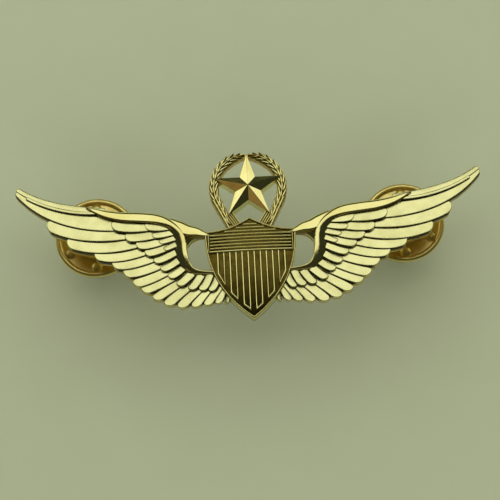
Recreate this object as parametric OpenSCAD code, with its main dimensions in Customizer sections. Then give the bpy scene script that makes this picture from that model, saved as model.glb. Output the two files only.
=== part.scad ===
// Pilot wings badge: struck wings, shield, wreath and star, brazed into one emblem,
// with two posts behind it and a butterfly clutch on each post.
// The origin is the middle of the shield's back face. +X runs to the viewer's right,
// +Y up towards the star, and +Z out of the front of the badge.

/* [Wings] */
// Span from wing tip to wing tip
wing_span = 63.4; // [50:0.2:80]
// Height of a wing, from the lowest feather to the tip
wing_h = 18; // [15:0.2:22]
// Thickness of the lowest flight feather
feather_t = 1; // [0.7:0.05:1.6]
// Rise from one overlapping feather to the next
feather_step = 0.035; // [0.01:0.005:0.06]
// Height of the arm and shoulder above the back face
arm_t = 2.1; // [1.9:0.05:3]

/* [Shield] */
// Width across the top corners
shield_w = 12.4; // [9:0.1:16]
// Height from the point to the peak
shield_h = 14; // [11:0.1:18]
// Thickness of the shield's field
shield_t = 2; // [1.4:0.05:3]
// Height of the rim, lines and stripes above the field
relief_h = 0.15; // [0.05:0.01:0.3]
// Width of the raised rim
rim_w = 0.3; // [0.15:0.01:0.5]
// Number of outlined stripes below the chief
stripe_count = 6; // [2:1:7]
// Number of raised lines across the chief
chief_line_count = 9; // [3:1:10]

/* [Wreath and star] */
// Radius of the wreath's centre line
wreath_r = 4.65; // [3.8:0.05:5.6]
// Height of the wreath's centre above the origin
wreath_y = 11.65; // [10.6:0.05:13]
// Width of the leaf band
wreath_w = 1.35; // [0.8:0.05:2]
// Thickness of the wreath below its leaves
wreath_t = 1.5; // [1:0.05:2.2]
// Height of a leaf above the wreath
leaf_h = 0.3; // [0.1:0.05:0.5]
// Pairs of leaves up each side
leaf_pairs = 11; // [5:1:14]
// Radius of the star's points
star_r = 4.8; // [4:0.05:5.6]
// Height of the star's ridges above its edge
star_rise = 1.1; // [0.4:0.05:1.6]

/* [Posts] */
// Distance between the two posts
post_pitch = 42.4; // [36:0.2:48]
// Height of the posts above the origin
post_y = 7; // [6:0.1:8]
// Diameter of a post
post_d = 1.2; // [0.9:0.05:1.6]
// Length of a post behind the badge
post_len = 8; // [7:0.1:10]
// Diameter of the foot that is brazed to the wing
foot_d = 3.6; // [2.4:0.1:5]
// Thickness of the foot
foot_t = 0.4; // [0.2:0.05:0.8]

/* [Clutches] */
// Diameter over the rolled rim
disc_d = 11.4; // [10:0.1:14]
// Gap for cloth between the badge and the rim
cloth_gap = 3; // [1.5:0.1:3.6]
// Diameter of the rolled rim's bead
bead_d = 0.84; // [0.6:0.02:1.2]
// Thickness of the sheet
sheet_t = 0.3; // [0.2:0.02:0.4]
// Diameter of the domed housing
housing_d = 6; // [5:0.1:7.4]
// Depth of the housing behind the disc
housing_h = 3.6; // [3:0.1:4.4]
// Width of a pinch tab
tab_w = 4.2; // [3:0.1:4.8]
// How far a pinch tab reaches past the hinge
tab_reach = 3.9; // [3.6:0.1:5.4]
// Diameter of the spring wire
wire_d = 0.4; // [0.3:0.02:0.5]
// Radial clearance between a post and what slides on it
post_clearance = 0.05; // [0.02:0.01:0.1]

/* [Hidden] */
$fn = 48;

gold = "#E3D27A";
pale_gold = "#EFE6A6";
clutch_brass = "#C9A94F";

// A wing is drawn at this reach past the shield and this height, and stretched to the ones asked for.
drawn_side = 6.2;
drawn_reach = 25.5;
drawn_h = 18;
wing_scale = [(wing_span - shield_w) / 2 / drawn_reach, wing_h / drawn_h];

// Flight feathers from the leading edge down: root, bend, tip, width at the root, at the tip.
flight_feathers = [
  [[19.6, 9.1], [27.3, 9.8], [31.2, 12.65], 1.1, 0.8],
  [[18.0, 7.3], [26.5, 7.2], [31.1, 12.1], 2.5, 1.2],
  [[15.5, 5.9], [22.3, 4.95], [26.7, 7.2], 1.9, 1.7],
  [[13.5, 4.9], [19.5, 3.0], [24.0, 4.65], 1.7, 1.6],
  [[12.0, 4.0], [17.5, 1.8], [20.4, 2.75], 1.5, 1.4],
  [[10.5, 3.2], [15.9, 1.0], [18.0, 1.45], 1.5, 1.45],
  [[9.5, 2.6], [14.1, 0.2], [16.4, 0.2], 1.55, 1.5],
  [[8.8, 1.8], [12.7, -0.6], [15.1, -1.2], 1.55, 1.5],
  [[8.2, 1.0], [11.6, -1.3], [14.0, -2.15], 1.5, 1.45],
  [[7.4, 0.3], [10.6, -2.0], [12.5, -3.2], 1.5, 1.45],
  [[6.6, -0.4], [9.6, -2.7], [10.95, -3.95], 1.5, 1.45],
  [[5.8, -1.0], [8.2, -3.2], [9.25, -4.35], 1.4, 1.35],
  [[5.2, -1.5], [6.7, -3.2], [7.45, -4.3], 1.35, 1.3],
  [[4.4, -2.0], [5.4, -3.4], [5.85, -4.15], 1.3, 1.2],
  [[3.8, -2.0], [4.2, -3.2], [4.5, -4.0], 1.4, 1.0],
  [[3.0, -2.4], [3.3, -3.5], [3.45, -4.15], 0.9, 0.7],
];
// Covert feathers of the first row, from the arm down to the shield.
first_coverts = [
  [[11.5, 6.7], [15.9, 6.1], [18.0, 6.7], 1.6, 1.4],
  [[10.6, 5.8], [14.3, 4.8], [16.2, 5.0], 1.4, 1.3],
  [[10.2, 4.9], [13.4, 3.6], [14.8, 3.85], 1.3, 1.2],
  [[9.9, 4.0], [12.4, 2.85], [13.6, 2.75], 1.25, 1.2],
  [[9.4, 3.1], [11.4, 1.85], [12.5, 1.65], 1.2, 1.1],
  [[9.0, 2.1], [10.7, 0.75], [11.6, 0.5], 1.15, 1.1],
  [[8.4, 1.1], [9.9, -0.3], [10.6, -0.55], 1.15, 1.1],
  [[7.7, 0.1], [8.9, -1.25], [9.4, -1.6], 1.1, 1.0],
  [[6.6, -0.3], [7.3, -1.55], [7.85, -2.15], 1.05, 1.0],
  [[5.6, -0.6], [6.1, -2.0], [6.5, -2.35], 1.0, 0.95],
  [[4.6, -1.0], [4.9, -2.0], [5.3, -2.5], 0.85, 0.8],
];
// Short coverts of the second row, which lie on the first row beside the arm.
second_coverts = [
  [[10.2, 6.4], [12.2, 6.1], [13.5, 6.35], 1.3, 1.25],
  [[9.8, 5.6], [11.6, 5.1], [12.7, 5.1], 1.1, 1.0],
  [[9.6, 4.8], [11.1, 4.35], [11.8, 4.2], 1.0, 0.9],
  [[9.4, 4.0], [10.6, 3.5], [11.2, 3.25], 1.0, 0.9],
];
// The narrow blade that lies between the leading feather and the next one.
leading_blade = [[20.8, 8.85], [25.7, 8.88], [30.0, 11.4], 0.5, 0.5];

// The thin web under the leading feathers, which closes the gaps between their blades.
leading_web = [[12, 7.5], [22, 9.5], [26.5, 10.3], [30, 12], [28, 10], [24, 7.8], [18, 6.2], [11, 5]];

flight_top = feather_t + (len(flight_feathers) - 1) * feather_step;
first_covert_top = flight_top + len(first_coverts) * feather_step;
blade_rise = 0.12;

curve_steps = 7;
tip_steps = 6;

shield_half = shield_w / 2;
shield_top = shield_h / 2;
shoulder_drop = 1.6;
chief_floor = 2.4;
line_w = 0.16;
chief_pitch = (shield_top - rim_w - chief_floor) / (chief_line_count + 0.5);
stripe_pitch = (shield_w - 2 * rim_w) / (stripe_count + 1.25);
joint_depth = 1;

leg_turn = -25;
leg_len = 4.6;
tip_w = 0.4;
stem_ribs = 4;
star_points = 5;
star_waist = star_r * sin(18) / cos(36);
star_y = wreath_y - 0.2;
lug_bite = 0.3;
lug_w = 0.2;

// The clutch is drawn round its post's axis, with the badge's back face at z = 0.
disc_back = -cloth_gap - bead_d;
disc_front = disc_back + sheet_t;
post_r = post_d / 2;
slide_r = post_r + post_clearance;
spring_ring_r = slide_r + wire_d / 2;
housing_back = disc_back - housing_h;
housing_wall_h = 1;
window_h = 1.7;
hinge_z = disc_back - 0.9;
hinge_y = housing_d / 2 + 0.1;
hinge_d = 0.6;
tab_t = 0.32;
tab_lean = 10;
tongue_w = tab_w / 2;
tongue_end = slide_r + 0.45;
spring_z = disc_back - 2;
nub_ball_d = 2;
nub_h = 0.4;
nub_r = disc_d / 2 - 1.5;
nub_count = 6;
point_len = 0.8;
foot_collar_h = 0.5;

// How far a feather's tip leans past its upper edge, as a share of half its width.
tip_lean = 0.55;
leading_feathers = 2;

// Points along a curve that leaves a for b, bent towards one or two control points.
function bend2(a, b, c, t) = a * pow(1 - t, 2) + b * 2 * t * (1 - t) + c * pow(t, 2);
function bend3(a, b, c, d, t) = a * pow(1 - t, 3) + b * 3 * t * pow(1 - t, 2)
  + c * 3 * pow(t, 2) * (1 - t) + d * pow(t, 3);
function curve(p, steps = curve_steps) = [
  for (i = [0:steps]) bend3(p[0], p[1], p[2], p[3], i / steps),
];
function unit(v) = v / norm(v);
function left_of(v) = [-v[1], v[0]];
function feather_way(f, t) = unit((f[1] - f[0]) * (1 - t) + (f[2] - f[1]) * t);
function feather_half(f, t) = (f[3] + (f[4] - f[3]) * t) / 2;
function feather_side(f, lean, side, t) = bend2(f[0], f[1], f[2], t)
  + feather_half(f, t) * side * (left_of(feather_way(f, t)) + feather_way(f, 1) * lean * pow(t, 3));

// Outline of a feather: up one side, round the tip, and back down the other.
function feather_outline(f, lean) = let (
  way = feather_way(f, 1),
  turn = atan2(way[1], way[0]),
  half = feather_half(f, 1)
) concat(
  [for (i = [0:curve_steps]) feather_side(f, lean, -1, i / curve_steps)],
  [for (i = [1:tip_steps - 1])
    let (a = 180 * i / tip_steps - 90)
      f[2] + half * ([cos(turn + a), sin(turn + a)] + way * lean * sin(a))],
  [for (i = [curve_steps:-1:0]) feather_side(f, lean, 1, i / curve_steps)]
);

module feather(f, top, lean = tip_lean) {
  linear_extrude(top) polygon(feather_outline(f, lean));
}

// The arm and the rounded shoulder, as one outline from the arm's end to the shield.
module arm_outline() {
  polygon(concat(
    curve([[22.2, 9.75], [19, 8.7], [15, 8.6], [12, 8.1]]),
    curve([[11.6, 8.05], [9.8, 7.6], [8.6, 6.3], [6.1, 5.3]]),
    [[4, 5], [4, -0.5]],
    curve([[5.6, -0.6], [8.6, -0.8], [9.9, 0.6], [10.05, 3.2]]),
    curve([[10.1, 3.6], [10.25, 5.2], [10.8, 6.6], [12, 7]]),
    curve([[12.6, 7.15], [15, 7.4], [18.5, 7.5], [21.4, 8.8]])
  ));
}

// The opening between the shoulder and the shield.
module opening_outline() {
  polygon(concat(
    curve([[6.3, 4.85], [8.1, 4.85], [8.8, 3.6], [8.8, 2.3]]),
    curve([[8.8, 2.1], [8.8, 0.7], [7.4, -0.1], [5.4, -0.1]]),
    [[4.4, -0.1], [4.4, 4.85]]
  ));
}

module wing() {
  difference() {
    translate([shield_half, 0, 0]) scale([wing_scale[0], wing_scale[1], 1])
      translate([-drawn_side, 0, 0]) difference() {
      union() {
        for (i = [0:len(flight_feathers) - 1])
          feather(flight_feathers[i], flight_top - i * feather_step, i < leading_feathers ? 0 : tip_lean);
        for (i = [0:len(first_coverts) - 1])
          feather(first_coverts[i], first_covert_top - i * feather_step);
        for (i = [0:len(second_coverts) - 1])
          feather(second_coverts[i], first_covert_top + (len(second_coverts) - i) * feather_step);
        feather(leading_blade, flight_top + blade_rise, 0);
        linear_extrude(feather_t) polygon(leading_web);
        linear_extrude(arm_t) arm_outline();
      }
      translate([0, 0, -joint_depth])
        linear_extrude(arm_t + 2 * joint_depth) opening_outline();
    }
    translate([0, 0, -joint_depth])
      linear_extrude(arm_t + 2 * joint_depth) shield_outline();
  }
}

// Half of the shield's edge, from the top corner down to the point.
function shield_side(w, top, low) = [
  [w, top - shoulder_drop],
  [w * 1.015, -0.8 + low * 0.14 + top * 0.28],
  [w * 0.68, low * 0.57],
  [0, low],
];
function shield_crown(w, top) = [
  [0, top],
  [w * 0.3, top - 1.1],
  [w * 0.6, top - shoulder_drop - 0.1],
  [w, top - shoulder_drop],
];
function mirrored(points) = [for (i = [len(points) - 1:-1:0]) [-points[i][0], points[i][1]]];
function half_shield(w, top, low) = concat(
  curve(shield_crown(w, top)),
  [for (i = [1:10]) bend3(
    shield_side(w, top, low)[0], shield_side(w, top, low)[1],
    shield_side(w, top, low)[2], shield_side(w, top, low)[3], i / 10)]
);
function inner_points(points) = [for (i = [1:len(points) - 2]) points[i]];

module shield_outline(inset = 0) {
  half = half_shield(shield_half - inset, shield_top - inset * 0.9, inset * 1.4 - shield_top);
  polygon(concat(half, inner_points(mirrored(half))));
}

// A stripe's raised outline: two lines joined at the bottom along the shield's edge.
module stripe_outline(x, w) {
  difference() {
    stripe_field(x, w, rim_w + line_w);
    stripe_field(x, w - 2 * line_w, rim_w + 2 * line_w);
  }
}
module stripe_field(x, w, inset) {
  intersection() {
    shield_outline(inset);
    translate([x - w / 2, -shield_top]) square([w, shield_top + chief_floor]);
  }
}

module shield_lines() {
  for (i = [0:chief_line_count - 1])
    translate([-shield_half, chief_floor + i * chief_pitch]) square([shield_w, line_w]);
  for (i = [0:stripe_count - 1])
    stripe_outline((i - (stripe_count - 1) / 2) * stripe_pitch, stripe_pitch / 2 + line_w);
}

module shield() {
  color(gold) {
    linear_extrude(shield_t) shield_outline();
    translate([0, 0, shield_t]) linear_extrude(relief_h) {
      difference() {
        shield_outline();
        shield_outline(rim_w);
      }
      intersection() {
        shield_outline(rim_w);
        shield_lines();
      }
    }
  }
}

// One branch of the wreath: an arc from the top, then a straight leg down to the shield.
arc_len = wreath_r * (90 - leg_turn) * PI / 180;
branch_len = arc_len + leg_len;
function branch_angle(s) = 90 - min(s, arc_len) / wreath_r * 180 / PI;
function branch_way(s) = [sin(branch_angle(s)), -cos(branch_angle(s))];
function branch_at(s) = [0, wreath_y] + wreath_r * [cos(branch_angle(s)), sin(branch_angle(s))]
  + branch_way(s) * max(0, s - arc_len);
function branch_half(s) = (s < arc_len / 3)
  ? (tip_w + (wreath_w - tip_w) * sin(90 * s / (arc_len / 3))) / 2
  : (wreath_w - (wreath_w - 0.9) * max(0, s - arc_len) / leg_len) / 2;
function branch_side(side, steps) = [
  for (i = [0:steps]) let (s = branch_len * i / steps)
    branch_at(s) + left_of(branch_way(s)) * branch_half(s) * side,
];
function back_to_front(points) = [for (i = [len(points) - 1:-1:0]) points[i]];

module branch_outline() {
  polygon(concat(branch_side(1, 20), back_to_front(branch_side(-1, 20))));
}

// The bound stems, which lean in from the wreath's leg towards the middle of the shield.
stem_top = branch_at(arc_len + 1.9) - [0.66, 0.06];
stem_foot = stem_top - [1.55, 2.5];
stem_w = 1.2;
function stem_corner(p, side) = p + left_of(unit(stem_foot - stem_top)) * stem_w / 2 * side;

module stem_outline() {
  polygon([
    stem_corner(stem_top, 1), stem_corner(stem_foot, 1),
    stem_corner(stem_foot, -1), stem_corner(stem_top, -1),
  ]);
}

// A narrow lug from the ring's centre line to each point of the star, which sits on it.
module star_lugs() {
  for (i = [0:star_points - 1]) {
    a = 90 + i * 360 / star_points;
    tip = [0, star_y] + (star_r - lug_bite) * [cos(a), sin(a)];
    out = unit(tip - [0, wreath_y]);
    translate([0, wreath_y]) rotate(atan2(out[1], out[0])) translate([norm(tip - [0, wreath_y]), -lug_w / 2])
      square([max(lug_bite, wreath_r - norm(tip - [0, wreath_y])), lug_w]);
  }
}

module wreath_outline() {
  for (m = [0, 1]) mirror([m, 0, 0]) {
    branch_outline();
    stem_outline();
  }
  star_lugs();
}

// A leaf with its point up the branch, drawn from its own root.
module leaf(len, w) {
  polygon([[0, 0], [len * 0.35, w / 2], [len * 0.7, w * 0.36], [len, 0], [len * 0.5, -w * 0.3]]);
}

module branch_leaves() {
  pitch = (branch_len - 1.6) / leaf_pairs;
  for (i = [0:leaf_pairs - 1], side = [-1, 1]) {
    s = 1.9 + i * pitch;
    half = branch_half(s);
    way = -branch_way(s);
    translate(branch_at(s)) rotate(atan2(way[1], way[0]) - side * 14)
      mirror([0, side > 0 ? 0 : 1, 0]) leaf(pitch * 1.3, half * 1.6);
  }
}

module stem_lines() {
  way = unit(stem_foot - stem_top);
  pitch = stem_w / (stem_ribs + 0.5);
  for (i = [0:stem_ribs - 1])
    translate(stem_top + left_of(way) * ((i + 0.5) * pitch - stem_w / 2 + pitch * 0.1))
      rotate(atan2(way[1], way[0])) square([norm(stem_foot - stem_top), pitch * 0.6]);
}

module wreath() {
  color(pale_gold) difference() {
    union() {
      linear_extrude(wreath_t) wreath_outline();
      translate([0, 0, wreath_t]) linear_extrude(leaf_h) difference() {
        intersection() {
          wreath_outline();
          for (m = [0, 1]) mirror([m, 0, 0]) {
            branch_leaves();
            stem_lines();
          }
        }
        star_outline();
      }
    }
    translate([0, 0, -joint_depth])
      linear_extrude(wreath_t + leaf_h + 2 * joint_depth) shield_outline();
  }
}

// The star's points and waists in turn, anticlockwise from the top.
star_rim = [
  for (i = [0:2 * star_points - 1])
    let (a = 90 + i * 180 / star_points, r = (i % 2 == 0) ? star_r : star_waist)
      [r * cos(a), star_y + r * sin(a)],
];

module star_outline() {
  polygon(star_rim);
}

module star() {
  count = len(star_rim);
  edge_h = 0.2;
  color(pale_gold) {
    linear_extrude(wreath_t) difference() {
      star_outline();
      wreath_outline();
    }
    translate([0, 0, wreath_t]) {
      linear_extrude(edge_h) star_outline();
      translate([0, 0, edge_h]) polyhedron(
        points = concat(
          [for (p = star_rim) [p[0], p[1], 0]],
          [[0, star_y, 0], [0, star_y, star_rise]]
        ),
        faces = concat(
          [for (i = [0:count - 1]) [count, i, (i + 1) % count]],
          [for (i = [0:count - 1]) [count + 1, (i + 1) % count, i]]
        )
      );
    }
  }
}

// The post: a foot, a shank with a groove that the spring snaps into, and a point.
module post() {
  groove_r = post_r - 0.12;
  groove_h = wire_d + 0.2;
  color(gold) rotate_extrude() polygon([
    [0, 0], [foot_d / 2, 0], [foot_d / 2, -foot_t], [post_r + 0.4, -foot_t],
    [post_r, -foot_t - foot_collar_h],
    [post_r, spring_z + groove_h / 2 + 0.1], [groove_r, spring_z + groove_h / 2],
    [groove_r, spring_z - groove_h / 2], [post_r, spring_z - groove_h / 2 - 0.1],
    [post_r, point_len - post_len], [0.12, -post_len], [0, -post_len],
  ]);
}

module clutch_disc() {
  bead_r = bead_d / 2;
  color(clutch_brass) {
    rotate_extrude() {
      translate([slide_r, disc_back]) square([disc_d / 2 - bead_r - slide_r, sheet_t]);
      translate([disc_d / 2 - bead_r, disc_back + bead_r]) circle(bead_r);
    }
    for (i = [0:nub_count - 1]) rotate(30 + i * 360 / nub_count)
      translate([nub_r, 0, disc_front]) intersection() {
        translate([0, 0, nub_h - nub_ball_d / 2]) sphere(d = nub_ball_d);
        translate([0, 0, nub_ball_d / 2 - sheet_t / 2]) cube(nub_ball_d, center = true);
      }
  }
}

// Wall of the domed housing: straight below its flange, then an ellipse that ends near the hole.
dome_steps = 8;
function dome_wall(inset) = let (
  r = housing_d / 2 - inset,
  h = housing_h - housing_wall_h - inset,
  last = acos((slide_r + sheet_t) / r)
) [
  for (i = [0:dome_steps]) let (a = last * i / dome_steps)
    [r * cos(a), disc_back - housing_wall_h - h * sin(a)],
];

module clutch_housing() {
  flange_w = 0.9;
  color(clutch_brass) difference() {
    rotate_extrude() polygon(concat(
      [[housing_d / 2 - sheet_t, disc_back], [housing_d / 2 + flange_w, disc_back],
       [housing_d / 2 + flange_w, disc_back - sheet_t], [housing_d / 2, disc_back - sheet_t]],
      dome_wall(0),
      [[slide_r, housing_back], [slide_r, housing_back + sheet_t]],
      back_to_front(dome_wall(sheet_t))
    ));
    for (side = [-1, 1])
      translate([-tab_w / 2 - 0.25, side > 0 ? 0.8 : -housing_d - 0.8,
                 disc_back - sheet_t - window_h])
        cube([tab_w + 0.5, housing_d, window_h]);
  }
}

// A C of round wire with two short legs, held round the post.
module clutch_spring() {
  gap = 60;
  leg = 1.1;
  color(clutch_brass) translate([0, 0, spring_z]) {
    rotate([0, 0, gap / 2]) rotate_extrude(angle = 360 - gap)
      translate([spring_ring_r, 0]) circle(d = wire_d, $fn = 24);
    for (side = [-1, 1]) rotate(side * gap / 2) translate([spring_ring_r, 0, 0])
      rotate([0, 90, -side * gap / 2]) {
        sphere(d = wire_d);
        cylinder(d = wire_d, h = leg);
      }
  }
}

// Plan of a tab's blade, down from its hinge, with a rounded end.
module blade_plan() {
  end_r = tab_w * 0.42;
  hull() {
    translate([-tab_w / 2, -tab_reach / 3]) square([tab_w, tab_reach / 3]);
    translate([0, end_r - tab_reach]) circle(end_r);
  }
}

// A pinch tab on the +Y side: a tongue inside the housing, a round hinge and a leaning blade.
module pinch_tab() {
  color(clutch_brass) translate([0, hinge_y, hinge_z]) {
    rotate([90 + tab_lean, 0, 0]) translate([0, 0, -tab_t / 2])
      linear_extrude(tab_t) blade_plan();
    translate([-tab_w / 2, 0, 0]) rotate([0, 90, 0]) cylinder(d = hinge_d, h = tab_w);
    translate([-tongue_w / 2, tongue_end - hinge_y, -tab_t / 2])
      cube([tongue_w, hinge_y - tongue_end, tab_t]);
  }
}

module at_post(side) {
  translate([side * post_pitch / 2, post_y, 0]) children();
}

color(pale_gold) mirror([1, 0, 0]) wing();  // left_wing
color(pale_gold) wing();  // right_wing
shield();
wreath();
star();
at_post(-1) post();  // left_post
at_post(1) post();  // right_post
at_post(-1) clutch_spring();  // left_clutch_spring
at_post(-1) clutch_disc();  // left_clutch_disc
at_post(-1) clutch_housing();  // left_clutch_housing
at_post(-1) pinch_tab();  // left_upper_tab
at_post(-1) rotate(180) pinch_tab();  // left_lower_tab
at_post(1) clutch_spring();  // right_clutch_spring
at_post(1) clutch_disc();  // right_clutch_disc
at_post(1) clutch_housing();  // right_clutch_housing
at_post(1) pinch_tab();  // right_upper_tab
at_post(1) rotate(180) pinch_tab();  // right_lower_tab
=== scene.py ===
"""Dresses the pilot wings badge: struck and gold-plated emblem, brazed posts and butterfly clutches.

Every size below is in millimetres and every finished piece is in metres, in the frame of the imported
model: the origin is the middle of the shield's back face, +X the viewer's right, +Y up towards the
star, and +Z out of the front of the badge.
"""

from __future__ import annotations

import logging
import math
from dataclasses import dataclass, field
from enum import Enum
from typing import Callable, Iterable, Sequence

import bmesh
import bpy
from mathutils import Matrix, Vector


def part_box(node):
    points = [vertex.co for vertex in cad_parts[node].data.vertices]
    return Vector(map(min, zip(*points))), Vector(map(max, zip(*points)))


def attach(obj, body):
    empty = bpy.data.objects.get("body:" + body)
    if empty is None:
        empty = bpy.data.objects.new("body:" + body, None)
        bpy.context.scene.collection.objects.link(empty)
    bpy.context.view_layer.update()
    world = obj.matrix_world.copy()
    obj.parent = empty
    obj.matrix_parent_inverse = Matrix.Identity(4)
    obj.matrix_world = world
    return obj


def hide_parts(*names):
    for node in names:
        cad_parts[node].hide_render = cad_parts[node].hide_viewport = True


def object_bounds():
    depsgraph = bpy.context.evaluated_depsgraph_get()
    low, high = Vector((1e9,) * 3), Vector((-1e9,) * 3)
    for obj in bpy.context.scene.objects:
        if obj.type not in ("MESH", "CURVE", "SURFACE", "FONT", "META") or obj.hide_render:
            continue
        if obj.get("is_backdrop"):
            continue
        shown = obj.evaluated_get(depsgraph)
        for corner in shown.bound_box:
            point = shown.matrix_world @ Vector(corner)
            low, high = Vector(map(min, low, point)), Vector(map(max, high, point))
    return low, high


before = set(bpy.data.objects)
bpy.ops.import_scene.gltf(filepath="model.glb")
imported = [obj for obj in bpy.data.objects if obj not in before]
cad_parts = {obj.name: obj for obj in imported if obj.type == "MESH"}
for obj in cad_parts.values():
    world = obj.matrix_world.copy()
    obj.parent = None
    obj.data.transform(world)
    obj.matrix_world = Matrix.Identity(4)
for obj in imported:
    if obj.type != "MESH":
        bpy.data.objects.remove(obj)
CAD_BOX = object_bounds()

MM = 0.001
LOG = logging.getLogger("wings_badge")

Point = tuple[float, float]
Station = tuple[float, float, float, float, float]
Material = bpy.types.Material


class Side(Enum):
    """The two halves of the badge, by the sign of X."""

    LEFT = -1
    RIGHT = 1

    @property
    def word(self) -> str:
        """The side's name as the CAD nodes and bodies spell it."""
        return self.name.lower()


class Slot(Enum):
    """The record's material slots."""

    WING = "wing_gold"
    SHIELD = "shield_gold"
    WREATH = "wreath_gold"
    STAR = "star_gold"
    POST = "post_brass"
    CLUTCH = "clutch_brass"
    SPRING = "spring_wire"


# ---------------------------------------------------------------- curves


def mix(a: float, b: float, t: float) -> float:
    """The value a share t of the way from a to b."""
    return a + (b - a) * t


def bezier(points: Sequence[Point], t: float) -> Vector:
    """A point on a curve that leaves the first point for the last, bent towards the others.

    Args:
        points: Three or more control points.
        t: Share of the way along, from 0 to 1.

    Returns:
        The point, in the plane.
    """
    row = [Vector(point) for point in points]
    while len(row) > 1:
        row = [a.lerp(b, t) for a, b in zip(row, row[1:])]
    return row[0]


def eased(v: float) -> float:
    """A share across, from -1 to 1, moved so that points gather at both sides."""
    return math.sin(v * math.pi / 2)


def left_of(way: Vector) -> Vector:
    """The direction a quarter turn anticlockwise from way."""
    return Vector((-way.y, way.x))


@dataclass(frozen=True)
class Track:
    """A smooth line through stations, each of which holds a place and any other sizes there."""

    stations: Sequence[Sequence[float]]

    def at(self, t: float) -> list[float]:
        """Values at a share t of the way along, on a spline that passes through every station.

        Args:
            t: Share of the way along, from 0 to 1.

        Returns:
            The place and the other sizes there, in the stations' order.
        """
        last = len(self.stations) - 1
        here = min(int(t * last), last - 1)
        part = t * last - here
        before, a, b, after = (
            self.stations[min(max(here + step, 0), last)] for step in (-1, 0, 1, 2)
        )
        return [
            q + 0.5 * part * (r - p + part * (2 * p - 5 * q + 4 * r - s + part * (3 * (q - r) + s - p)))
            for p, q, r, s in zip(before, a, b, after)
        ]

    def way(self, t: float) -> Vector:
        """The direction of the line.

        Args:
            t: Share of the way along, from 0 to 1.

        Returns:
            The direction there, one long.
        """
        step = 0.004
        a, b = self.at(max(t - step, 0)), self.at(min(t + step, 1))
        return Vector((b[0] - a[0], b[1] - a[1])).normalized()


# ---------------------------------------------------------------- materials


def linear(colour: str) -> tuple[float, float, float, float]:
    """An sRGB hex colour as linear light.

    Args:
        colour: Six hex digits after a hash.

    Returns:
        Red, green, blue and an alpha of one.
    """
    parts = [int(colour[i : i + 2], 16) / 255 for i in (1, 3, 5)]
    light = [c / 12.92 if c <= 0.04045 else ((c + 0.055) / 1.055) ** 2.4 for c in parts]
    return (*light, 1.0)


def add_node(
    tree: bpy.types.NodeTree, kind: str, settings: dict | None = None, links: dict | None = None
) -> bpy.types.Node:
    """Adds a shader node.

    Args:
        tree: The material's node tree.
        kind: The node's type, such as ShaderNodeTexNoise.
        settings: Values for the node's own properties or its sockets, by name or number.
        links: Output sockets to join to this node's inputs, by name or number.

    Returns:
        The new node.
    """
    node = tree.nodes.new(kind)
    for key, value in (settings or {}).items():
        if isinstance(key, str) and hasattr(node, key):
            setattr(node, key, value)
        else:
            node.inputs[key].default_value = value
    for key, socket in (links or {}).items():
        tree.links.new(socket, node.inputs[key])
    return node


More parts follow.
